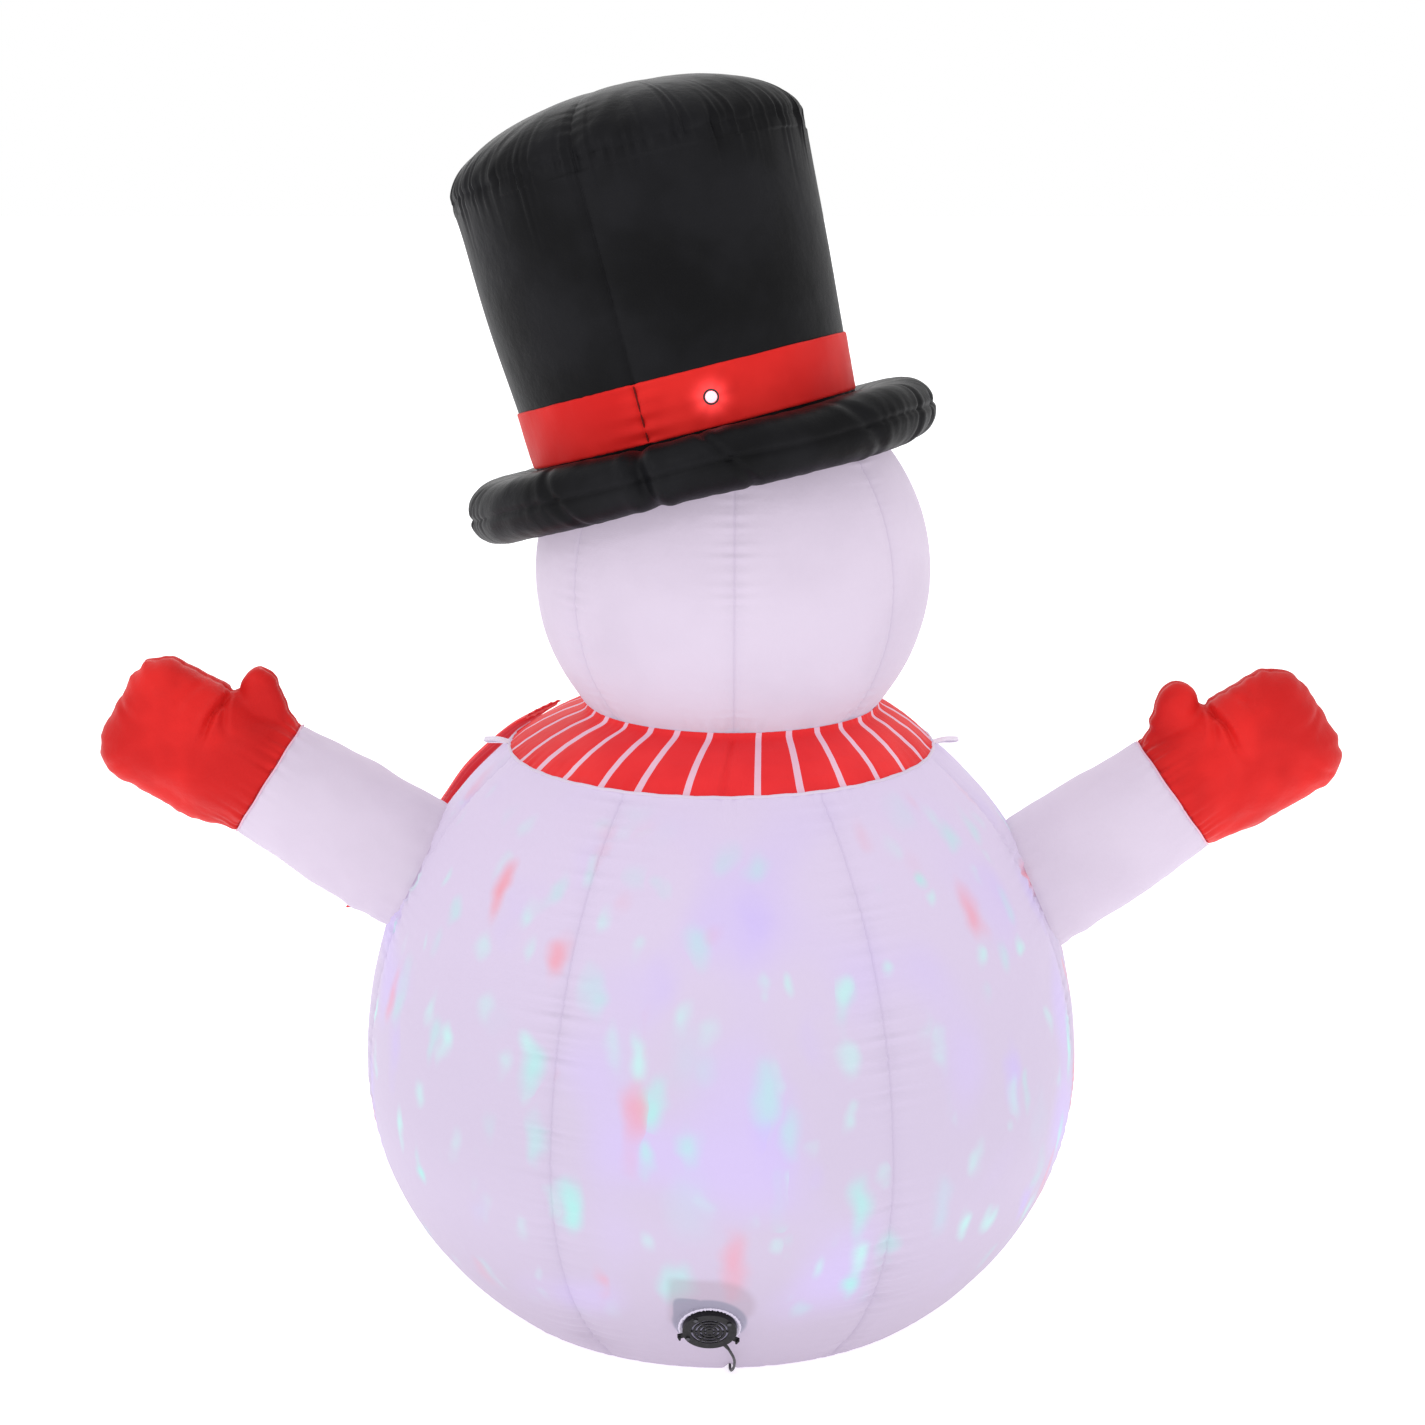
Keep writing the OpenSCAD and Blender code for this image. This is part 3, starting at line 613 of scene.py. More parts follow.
def moulded(name, colour, rough, grain=0.00012, spread=0.12, coat=0.0, specular=0.4):
    """Moulded plastic, rubber or plain metal: fine grain, faint mottling, duller where it is worn."""
    n = Nodes(name)
    at = n.place()
    worn = n.ramp(n.noise(at, 60.0, 4.0), 0.4, 0.7, 0.0, spread)
    shade = n.mix(worn, colour, brighter(colour, 1.6, 0.02))
    roughness = n.ramp(n.noise(at, 140.0, 3.0), 0.3, 0.7, rough - 0.06, rough + 0.08)
    return n.set(color=shade, rough=roughness, coat=coat, specular=specular,
                 normal=n.bump(n.noise(at, 900.0, 2.0), grain, 0.5))


M["lead"] = moulded("lead_rubber", rgb(24, 24, 26), 0.5)
lead_points = smooth_path(lead_route())
lead = tube_curve("lead", lead_points, LEAD_D / 2)
lead.data.materials.append(M["lead"])
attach(lead, "torso")
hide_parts("power_lead_run", "power_lead_coil")


# --- body ------------------------------------------------------------------------------------------
def gore_seams(first):
    """The seams' angles from -pi to pi, one of them at the angle given."""
    return sorted((first + 2 * math.pi * k / GORES + math.pi) % (2 * math.pi) - math.pi for k in range(GORES))


BODY_SEAMS, HEAD_SEAMS = gore_seams(math.pi), gore_seams(0.0)
LEAD_X = -0.012


def gore_offset(seams, depth, pucker, pitch, reach, seed, fade):
    """Seams pull in a little; short cross puckers run out from them."""
    ripple = Ripple(seed)

    def offset(t, points, arc):
        gap, which = seam_distance(t, seams)
        across = gap * np.hypot(points[..., 0], points[..., 1])
        groove = -depth * bump_of(across, 0.016) - 0.0018 * bump_of(across, 0.0019)
        lip = 0.0006 * bump_of(across - 0.0065, 0.0022)
        train = wave(arc + which * 0.37, pitch, seed) + 0.6 * wave(arc - which * 0.21, pitch * 0.45, seed + 1)
        local = 0.55 + 0.45 * wave(arc + which * 0.5, 0.30, seed + 2)
        near = np.exp(-across / reach) * (1 - np.exp(-((across / 0.004) ** 2)) * 0.5)
        puckers = pucker * train * near * np.clip(local, 0.15, 1.3)
        far = 0.0010 * ripple(points, 0.45) + 0.00035 * ripple(points * 1.3, 0.11)
        return (groove + lip + puckers + far) * fade(arc)

    return offset


def ball_skin():
    z = np.concatenate([np.linspace(0, 0.03, 9, endpoint=False), np.linspace(0.03, COLLAR_Z, 210)])
    profile = np.stack([ball_radius(z), z], 1)
    turns = clustered_turns(BODY_SEAMS, 46)
    lead_turn = math.atan2(LEAD_X, float(ball_radius(np.array(0.0))))
    turns = np.unique(np.concatenate([turns, lead_turn + np.radians(np.linspace(-2.2, 2.2, 15)),
                                      np.array([lead_turn])]))
    total = arc_length(profile)[-1]

    def fade(arc):
        return np.clip(arc / 0.03, 0, 1) * np.clip((total - arc) / 0.012, 0, 1)

    base = gore_offset(BODY_SEAMS, 0.0034, 0.0023, 0.019, 0.030, 5, fade)

    def offset(t, points, arc):
        gather = 0.0016 * wave(t * 0.314 + 0.2, 0.013, 31, 5) * np.exp(-(total - arc) / 0.022)
        hem = 0.0005 * wave(t * 0.363 + 0.7, 0.020, 37, 5) * np.exp(-arc / 0.030)
        shoulder = 0
        for root, *_ in ARMS.values():
            away = np.linalg.norm(points - np.array(root), axis=-1)
            angle = np.arctan2(points[..., 1] - root.y, points[..., 2] - root.z)
            shoulder = shoulder + 0.0010 * wave(angle * 0.1, 0.030, 41) * bump_of(away - 0.112, 0.028)
        return base(t, points, arc) + gather + hem + shoulder

    skin = lathe("body_skin", profile, turns, offset)
    co = read_points(skin.data)
    low = np.clip(1 - co[:, 2] / 0.030, 0, 1)
    co[:, 2] += 0.0068 * bump_of(co[:, 0] - LEAD_X, 0.0068) * low
    co[:, 2] = np.maximum(co[:, 2], 0.0002)
    write_points(skin.data, co)
    skin.data.materials.append(M["ball"])
    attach(skin, "torso")
    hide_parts("body_envelope")


def base_skin():
    """The flat bottom panel, lifted in a narrow tunnel over the lead."""
    radius = float(ball_radius(np.array(0.0))) - 0.002
    side = np.concatenate([np.linspace(-radius * 0.9995, -0.026, 34), np.linspace(-0.024, 0.0, 25),
                           np.linspace(0.004, radius * 0.9995, 36)])
    t = np.linspace(-1, 1, 80)
    x, u = np.meshgrid(side, t, indexing="ij")
    y = u * np.sqrt(np.maximum(radius ** 2 - x ** 2, 0))
    ripple = Ripple(77)
    flat = np.stack([x, y, 0 * x], -1)
    tunnel = 0.0060 * np.exp(-(((x - LEAD_X) / 0.0062) ** 4))
    z = 0.0007 + 0.0004 * ripple(flat, 0.09) * (1 - np.hypot(x, y) / radius) + tunnel
    points = np.stack([x, y, z], -1).reshape(-1, 3)
    obj = new_object("base_skin", points, grid_faces(len(side), len(t), False, True))
    obj.data.materials.append(M["white"])
    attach(obj, "torso")
    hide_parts("base_panel")


ball_skin()
base_skin()


# --- collar ----------------------------------------------------------------------------------------
COLLAR_LINE = [(0.314, 0.8333), (0.2950, 0.8495), (0.2725, 0.8650), (0.2465, 0.8795), (0.2265, 0.8885),
               (0.2204, 0.8925), (0.2174, 0.8997)]
STRIPES = 30


def collar_skin():
    """Red panels between narrow pale stripes, folded at the middle of the back."""
    line = even(COLLAR_LINE, 0.0035)
    rows = len(line)
    normal = line_normals(line)
    u = np.linspace(0, 1, rows)
    half = 0.0050 - 0.0006 * u
    angles, kinds = [], []
    rear = math.radians(9.15)
    pitch = (2 * math.pi - 2 * rear) / (STRIPES - 1)
    middles = [rear + k * pitch for k in range(STRIPES)]
    rng = np.random.default_rng(8)
    shift = rng.uniform(-0.012, 0.012, STRIPES + 1)
    leans = rng.uniform(-0.015, 0.015, STRIPES + 1)
    shift[-1], leans[-1] = shift[0], leans[0]
    middles = [m + d for m, d in zip(middles + [2 * math.pi + rear], shift)]
    for k in range(STRIPES):
        w = half * rng.uniform(0.9, 1.12) / line[:, 0]
        middle, following = (middles[j] + leans[j] * (u - 0.5) for j in (k, k + 1))
        for f in (-1.0, -0.4, 0.4, 1.0):
            angles.append(middle + f * w)
            kinds.append("stripe" if f < 1.0 else "panel")
        inner = 20 if k == STRIPES - 1 else 11
        for f in np.linspace(0, 1, inner)[1:-1]:
            angles.append(middle + w + f * (following - middle - 2 * w))
            kinds.append("panel")
    t = np.stack(angles, 1)
    radius = line[:, 0][:, None] + 0 * t
    height = line[:, 1][:, None] + 0 * t
    off_stripe = ((t - rear + pitch / 2) % pitch - pitch / 2) * radius
    edge = np.minimum(u, 1 - u)[:, None]
    fall = np.clip(edge / 0.10, 0, 1)
    gather_low = 0.0013 * wave(t * 0.30, 0.016, 61, 5) * np.exp(-u / 0.12)[:, None]
    gather_top = 0.0006 * wave(t * 0.22, 0.013, 63, 5) * np.exp(-(1 - u) / 0.16)[:, None]
    rear_way = (t + math.pi) % (2 * math.pi) - math.pi
    middle_fold = -0.0050 * bump_of(rear_way * radius, 0.0042) * fall
    middle_fold = middle_fold + 0.0022 * bump_of(rear_way * radius - 0.009, 0.006) * fall
    on_stripe = -0.0009 * bump_of(off_stripe, 0.0055)
    ripple = Ripple(64)
    points = np.stack([radius * np.sin(t), radius * np.cos(t), height], -1)
    crown = 0.0010 * np.sin(math.pi * u)[:, None]
    broad = 0.0012 * ripple(points, 0.09) * fall
    push = crown + on_stripe + middle_fold + broad + gather_low * 0.8 + gather_top
    points[..., 0] += push * normal[:, 0][:, None] * np.sin(t) + HEAD_AT.x * (u ** 1.2)[:, None]
    points[..., 1] += push * normal[:, 0][:, None] * np.cos(t)
    points[..., 2] += push * normal[:, 1][:, None]
    columns = t.shape[1]
    obj = new_object("collar_skin", points.reshape(-1, 3), grid_faces(rows, columns, True, True))
    obj.data.materials.append(M["collar_red"])
    obj.data.materials.append(M["stripe"])
    index = np.array([1 if kinds[i % columns] == "stripe" else 0 for i in range((rows - 1) * columns)])
    obj.data.polygons.foreach_set("material_index", index)
    obj.data.update()
    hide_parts("scarf_collar")
    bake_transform(obj)


def sweep_mesh(name, paths, radius, sides, wobble=None):
    """Round tubes along paths, with domed ends, as one mesh."""
    vertices, faces = [], []
    for path in paths:
        path = [Vector(p) for p in path]
        first = len(vertices)
        n = len(path)
        for i, p in enumerate(path):
            d = (path[min(i + 1, n - 1)] - path[max(i - 1, 0)]).normalized()
            side = Vector((0, 0, 1)).cross(d)
            side = side.normalized() if side.length > 1e-3 else Vector((1, 0, 0))
            other = d.cross(side)
            r = radius * (1 + (wobble(i) if wobble else 0))
            if i in (0, n - 1):
                r *= 0.4
            for k in range(sides):
                a = 2 * math.pi * k / sides
                vertices.append(p + r * (math.cos(a) * side + math.sin(a) * other))
        faces += [tuple(first + q for q in f) for f in grid_faces(n, sides, True, True)]
        faces.append(tuple(first + k for k in range(sides)))
        faces.append(tuple(first + (n - 1) * sides + k for k in range(sides - 1, -1, -1)))
    return new_object(name, vertices, faces)


def collar_piping():
    arcs = []
    for middle in (0, math.pi):
        reach = math.pi / 2 - 0.0465
        arcs.append([(0.3158 * math.sin(middle + a), 0.3158 * math.cos(middle + a),
                      0.8325 + 0.0004 * math.sin(41 * a)) for a in np.linspace(-reach, reach, 190)])
    obj = sweep_mesh("collar_piping_welt", arcs, 0.0024, 12, lambda i: 0.05 * math.sin(i * 1.9))
    obj.data.materials.append(M["white"])
    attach(obj, "torso")
    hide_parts("collar_piping")


def scarf_knot():
    """A pulled knot: a rounded lump with folds that wrap round it."""
    rows, columns = 40, 72
    at = Matrix.Rotation(-KNOT_TURN, 4, "Z") @ Matrix.Translation((0.290, 0, 0.865))
    lat = np.linspace(-math.pi / 2 * 0.97, math.pi / 2 * 0.97, rows)[:, None]
    turn = np.linspace(0, 2 * math.pi, columns, endpoint=False)[None, :]
    fold = 0.0016 * np.sin(7 * lat + 1.2 * np.sin(2 * turn) + 0.6) * np.cos(lat) ** 0.3
    fold = fold + 0.0008 * np.sin(15 * lat - 1.5 * np.cos(turn))
    r = 0.0262 + fold - 0.0030 * bump_of(np.abs(lat) - 0.85, 0.22)
    points = np.stack([r * np.cos(lat) * np.cos(turn), 1.06 * r * np.sin(lat) + 0 * turn,
                       0.97 * r * np.cos(lat) * np.sin(turn)], -1)
    obj = new_object("scarf_knot_wrap", placed(points.reshape(-1, 3), at), grid_faces(rows, columns))
    obj.data.materials.append(M["red"])
    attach(obj, "torso")
    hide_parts("scarf_knot")


collar_skin()
collar_piping()
scarf_knot()


# --- scarf tail ------------------------------------------------------------------------------------
def scarf_tail():
    """The scarf's free end: two layers sewn round the edge, hanging over the shoulder."""
    line = [(0.2960, 0.8585), (0.3225, 0.8415), (0.3545, 0.8145), (0.4025, 0.7685), (0.4485, 0.7085),
            (0.5055, 0.6425), (0.5645, 0.5765), (0.6125, 0.5225)]
    line = even([(p.x, p.z) for p in smooth_path([Vector((a, 0, b)) for a, b in line], 8)], 0.006)
    rows, across = len(line), 44
    normal = line_normals(line)
    u = np.linspace(0, 1, rows)[:, None]
    loop = 2 * across
    v = np.concatenate([np.linspace(-1, 1, across), np.linspace(1, -1, across)])[None, :]
    face = np.concatenate([np.ones(across), -np.ones(across)])[None, :]
    v_in = np.abs(v)
    crown = 0.0034 * (1 - v_in ** 4) * (1 - np.clip((u - 0.97) / 0.03, 0, 1) ** 2 * 0.8)
    fold = 0.0026 * np.sin(2.2 * math.pi * v + 2.5 * u) * np.clip(u / 0.3, 0, 1)
    fold = fold + 0.0012 * np.sin(5.3 * math.pi * v - 6 * u)
    seam = -0.0012 * bump_of(v_in - 0.93, 0.02)
    stitch = 0.0004 * np.sin(u * rows * 2.4) * bump_of(v_in - 0.97, 0.03)
    push = fold + face * (crown + seam + stitch) + 0.0022
    x = line[:, 0][:, None] + push * normal[:, 0][:, None]
    z = line[:, 1][:, None] + push * normal[:, 1][:, None]
    y = 0.0735 * v * (1 - 0.10 * np.exp(-u / 0.10)) + 0 * u
    y = y + 0.0015 * np.sin(9 * u) * np.sign(v)
    points = placed(np.stack([x, y, z], -1).reshape(-1, 3), Matrix.Rotation(-TAIL_TURN, 4, "Z"))
    faces = grid_faces(rows, loop)
    faces += [tuple(range(loop)), tuple((rows - 1) * loop + k for k in range(loop - 1, -1, -1))]
    obj = new_object("scarf_tail_flap", points, faces)
    obj.data.materials.append(M["tail"])
    obj.data.materials.append(M["stripe"])
    index = [1 if 0.80 < i / (rows - 1) < 0.825 or 0.87 < i / (rows - 1) < 0.895 else 0
             for i in range(rows - 1) for _ in range(loop)] + [0, 0]
    obj.data.polygons.foreach_set("material_index", index)
    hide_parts("scarf_tail")
    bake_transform(obj)


scarf_tail()


# --- head ------------------------------------------------------------------------------------------
def head_skin():
    low = math.asin((NECK_Z - 0.008 - HEAD_AT.z) / HEAD_R)
    lat = np.linspace(low, math.radians(66), 150)
    profile = np.stack([HEAD_R * np.cos(lat), HEAD_AT.z + HEAD_R * np.sin(lat)], 1)
    turns = clustered_turns(HEAD_SEAMS, 42)

    def fade(arc):
        return np.clip(arc / 0.012, 0.25, 1)

    base = gore_offset(HEAD_SEAMS, 0.0028, 0.0016, 0.014, 0.018, 15, fade)

    def offset(t, points, arc):
        gather = 0.0016 * wave(t * 0.217 + 0.1, 0.014, 33, 5) * np.exp(-((arc - 0.022) / 0.014) ** 2)
        return base(t, points, arc) + gather

    skin = lathe("head_skin", profile, turns, offset, Matrix.Translation((HEAD_AT.x, 0, 0)))
    under_brim = placed(read_points(skin.data), HAT.inverted())[:, 2] < 0.020
    loops = np.array([v for p in skin.data.polygons for v in p.vertices]).reshape(-1, 4)
    trim(skin, under_brim[loops].any(1))
    skin.data.materials.append(M["head"])
    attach(skin, "head")
    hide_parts("head_envelope")


def trim(obj, keep):
    """Keeps only those faces, and the vertices that they use."""
    mesh = obj.data
    co = read_points(mesh)
    faces = [tuple(p.vertices) for p, k in zip(mesh.polygons, keep) if k]
    used = sorted({v for f in faces for v in f})
    number = {v: i for i, v in enumerate(used)}
    new = bpy.data.meshes.new(obj.name)
    new.from_pydata(co[used].tolist(), [], [tuple(number[v] for v in f) for f in faces])
    new.update()
    new.shade_smooth()
    obj.data = new


def on_head(x, z, lift):
    """Points on the front of the head ball, that far out, at an offset from its centre."""
    radius = HEAD_R + lift
    y = -np.sqrt(np.maximum(radius ** 2 - x ** 2 - z ** 2, 0))
    return np.stack([HEAD_AT.x + x, y, HEAD_AT.z + z], -1)


def on_ball(x, z, lift):
    """The same on the body ball, at an offset from its axis."""
    r = ball_radius(z) + lift
    return np.stack([x, -np.sqrt(np.maximum(r ** 2 - x ** 2, 0)), z], -1)


def disc_patches(name, places, surface, thick, material, node, body):
    """Padded cloth discs, sewn down round the edge."""
    vertices, faces = [], []
    columns = 64
    rho = np.concatenate([np.linspace(0.02, 0.86, 10), np.linspace(0.89, 1.0, 5), [1.015]])[:, None]
    a = np.linspace(0, 2 * math.pi, columns, endpoint=False)[None, :]
    for number, (px, pz, r) in enumerate(places):
        x = px + r * np.minimum(rho, 1.0) * np.cos(a)
        z = pz + r * np.minimum(rho, 1.0) * np.sin(a)
        lift = thick * (0.75 + 0.25 * (1 - rho ** 2)) * np.clip((1.0 - rho) / 0.03, 0, 1) ** 0.5 + 0.0008
        lift = lift - 0.0007 * bump_of(rho - 0.9, 0.022)
        lift = lift + 0.0003 * np.sin(26 * a + number) * bump_of(rho - 0.94, 0.05)
        lift = lift + 0.0004 * np.sin(3 * a + 5 * rho + number)
        points = surface(x, z, np.maximum(lift, -0.002) + 0 * a).reshape(-1, 3)
        first = len(vertices)
        vertices += list(points)
        faces += [tuple(first + q for q in f) for f in grid_faces(len(rho), columns)]
        faces.append(tuple(first + k for k in range(columns - 1, -1, -1)))
    obj = new_object(name, vertices, faces)
    obj.data.materials.append(material)
    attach(obj, body)
    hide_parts(node)


NOSE_SEAMS = [0.6, 0.6 + math.pi]


def carrot_nose():
    at = (Matrix.Translation((HEAD_AT.x, -HEAD_R + 0.020, HEAD_AT.z - 0.005))
          @ Matrix.Rotation(math.radians(88), 4, "X"))
    length, wide, narrow = 0.150, 0.0358, 0.0090
    arc = [(wide, 0.002)]
    for s in np.linspace(0.006, length, 70):
        arc.append((wide + (narrow - wide) * s / length + 0.0010 * math.sin(math.pi * s / length), s))
    for a in np.linspace(0.15, math.pi / 2 * 0.98, 9):
        arc.append((narrow * math.cos(a), length - 0.0015 + narrow * math.sin(a)))
    turns = clustered_turns(NOSE_SEAMS, 36)

    def offset(t, points, along):
        gap, which = seam_distance(t, NOSE_SEAMS)
        across = gap * np.hypot(points[..., 0], points[..., 1])
        taper = np.clip(1 - along / 0.165, 0.15, 1)
        rings = 0.0011 * wave(along + 0.004 * np.sin(t), 0.021, 51, 5) * taper
        puckers = 0.0008 * wave(along + which, 0.010, 53) * np.exp(-across / 0.012) * taper
        root = 0.0014 * wave(t * 0.036, 0.011, 55, 5) * bump_of(along, 0.028)
        return rings - 0.0012 * bump_of(across, 0.0045) + puckers + root

    obj = lathe("carrot_nose_cone", arc, turns, offset, at)
    obj.data.materials.append(M["orange"])
    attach(obj, "head")
    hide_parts("carrot_nose")


# --- hat -------------------------------------------------------------------------------------------
HAT_SEAM = math.radians(14)
CROWN_SEAMS = [HAT_SEAM, HAT_SEAM + 2 * math.pi / 3, HAT_SEAM - 2 * math.pi / 3]
BRIM_FOLD = math.radians(12.5)


def crown_radius(s):
    return CROWN_R + (CROWN_TOP_R - CROWN_R) * s / CROWN_LEN


def crown_skin():
    """Straight crown and gathered dome, pulled in along the seam between them."""
    wall_s = np.concatenate([np.linspace(0.004, 0.36, 56, endpoint=False),
                             np.linspace(0.36, CROWN_LEN, 40)])
    wall = np.stack([crown_radius(wall_s), wall_s], 1)
    a = np.linspace(0, math.pi / 2 * 0.985, 80)[1:]
    dome = np.stack([CROWN_TOP_R * np.cos(a), CROWN_LEN + DOME_H * np.sin(a)], 1)
    profile = np.concatenate([wall, dome])
    wall_arc = arc_length(wall)[-1]
    turns = np.unique(np.concatenate([clustered_turns(sorted(CROWN_SEAMS), 60, 1.9),
                                      np.linspace(-math.pi, math.pi, 420, endpoint=False)]))
    keep = np.concatenate([[True], np.diff(turns) > 0.0016])
    turns = turns[keep]
    ripple = Ripple(91)

    def offset(t, points, arc):
        gap, which = seam_distance(t, CROWN_SEAMS)
        across = gap * np.hypot(points[..., 0], points[..., 1])
        past = arc - wall_arc
        below, above = np.clip(-past, 0, None), np.clip(past, 0, None)
        seam_ring = -0.0022 * np.exp(-(past / 0.007) ** 2)
        run = t * CROWN_TOP_R
        reach_low = 0.024 + 0.020 * wave(run, 0.060, 71)
        reach_up = 0.030 + 0.026 * wave(run + 3, 0.050, 72)
        train = wave(run, 0.022, 73, 6) + 0.5 * wave(run, 0.009, 74, 4)
        sharp = np.sign(train) * np.abs(train) ** 1.3 - 0.9 * np.clip(wave(run, 0.031, 79, 5) - 0.7, 0, 1)
        gathers = 0.0021 * sharp * (np.exp(-(below / np.clip(reach_low, 0.006, 1)) ** 1.4) * (past <= 0)
                                    + np.exp(-(above / np.clip(reach_up, 0.010, 1)) ** 1.2) * (past > 0))
        big = 0.0022 * wave(t * 0.262 + 0.4, 0.16, 75) * np.exp(-(above / 0.10)) * (past > -0.02)
        creases = (0.0011 * wave(run + 0.9 * points[..., 2], 0.060, 76, 5) * np.exp(-(above / 0.07))
                   * (past > 0))
        vertical = (-0.0034 * bump_of(across, 0.009) - 0.0016 * bump_of(across, 0.0022)
                    + 0.0009 * wave(arc + which, 0.024, 77) * np.exp(-across / 0.022))
        vertical = vertical * np.clip(above * -6 + 1, 0.2, 1)
        low = 0.0012 * wave(t * 0.24, 0.030, 78) * np.exp(-arc / 0.03)
        broad = 0.0016 * ripple(points, 0.34)
        top = np.clip((np.hypot(points[..., 0], points[..., 1]) - 0.004) / 0.03, 0, 1)
        return seam_ring + (gathers + big + creases + vertical) * top + low + broad * top

    obj = lathe("hat_crown_skin", profile, turns, offset, HAT)
    obj.data.materials.append(M["black"])
    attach(obj, "head")
    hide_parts("hat_crown")


def lamp_lead():
    """From the projector up the strap, through the neck and round inside the head to the lamp."""
    route = [(16, 10, 436), (16, 12, 480), (16, 10, 600), (16, 8, 720), (16, 8, 812), (18, 24, 850),
             (12, 60, 910), (0, 120, 1000), (-10, 180, 1090), (-8, 205, 1180), (-1, 196.3, 1269.8),
             (5, 197.5, 1320.1), (6.7, 201.1, 1356.6)]
    path = smooth_path([Vector(p) / 1000 for p in route], 6)
    obj = sweep_mesh("lamp_lead_run", [path], 0.0013, 10)
    obj.data.materials.append(M["lead"])
    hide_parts("hat_lamp_lead")
    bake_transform(obj)


def band_skin():
    low, high = BRIM_T / 2 + 0.0003, BRIM_T / 2 + 0.0003 + BAND_H
    s = np.linspace(low, high, 34)
    outer = np.stack([crown_radius(s) + 0.0021, s], 1)
    outer[0, 0] -= 0.0010
    outer[-1, 0] -= 0.0010
    profile = np.concatenate([[(crown_radius(low) - 0.0015, low + 0.0004)], outer,
                              [(crown_radius(high) - 0.0015, high - 0.0004)]])
    turns = np.unique(np.concatenate([clustered_turns(sorted(CROWN_SEAMS), 60, 2.0),
                                      -LAMP_TURN + np.linspace(-0.16, 0.16, 50)]))
    turns = turns[np.concatenate([[True], np.diff(turns) > 0.0012])]

    def offset(t, points, arc):
        gap, which = seam_distance(t, CROWN_SEAMS)
        across = gap * 0.243
        total = arc.max()
        inside = np.clip(np.minimum(arc, total - arc) / 0.006, 0, 1)
        lamp = np.hypot((t + LAMP_TURN) * 0.243, points[..., 2] - (BRIM_T + BAND_H) / 2)
        ray = np.arctan2(points[..., 2] - (BRIM_T + BAND_H) / 2, (t + LAMP_TURN) * 0.243)
        pulled = 0.0013 * np.sin(7 * ray + 0.6) * np.exp(-(lamp / 0.034) ** 2) * np.clip(lamp / 0.012, 0, 1)
        seam = -0.0032 * bump_of(across, 0.006) - 0.0016 * bump_of(across, 0.0018)
        train = 0.0022 * wave(arc + which, 0.020, 81) * np.exp(-across / 0.024)
        edge = 0.0007 * wave(t * 0.243, 0.017, 83, 5) * np.exp(-np.minimum(arc, total - arc) / 0.014)
        return (seam + train + edge + pulled) * inside + 0.0006 * wave(t * 0.243 + arc, 0.11, 82) * inside

    obj = lathe("hat_band_skin", profile, turns, offset, HAT)
    obj.data.materials.append(M["band"])
    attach(obj, "head")
    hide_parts("hat_band")
    rows = np.linspace(low + 0.0006, high - 0.0006, 40)
    inset = crown_radius(rows) - 0.0019
    paths = [placed(np.stack([inset * math.sin(t), inset * math.cos(t), rows], 1), HAT) for t in CROWN_SEAMS]
    # Painted shade: a dark strand in each band seam's groove, standing for the seam's shade.
    shade_thread = sweep_mesh("hat_band_seam_painted_shade", paths, 0.0011, 8)
    shade_thread.data.materials.append(M["seam"])
    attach(shade_thread, "head")


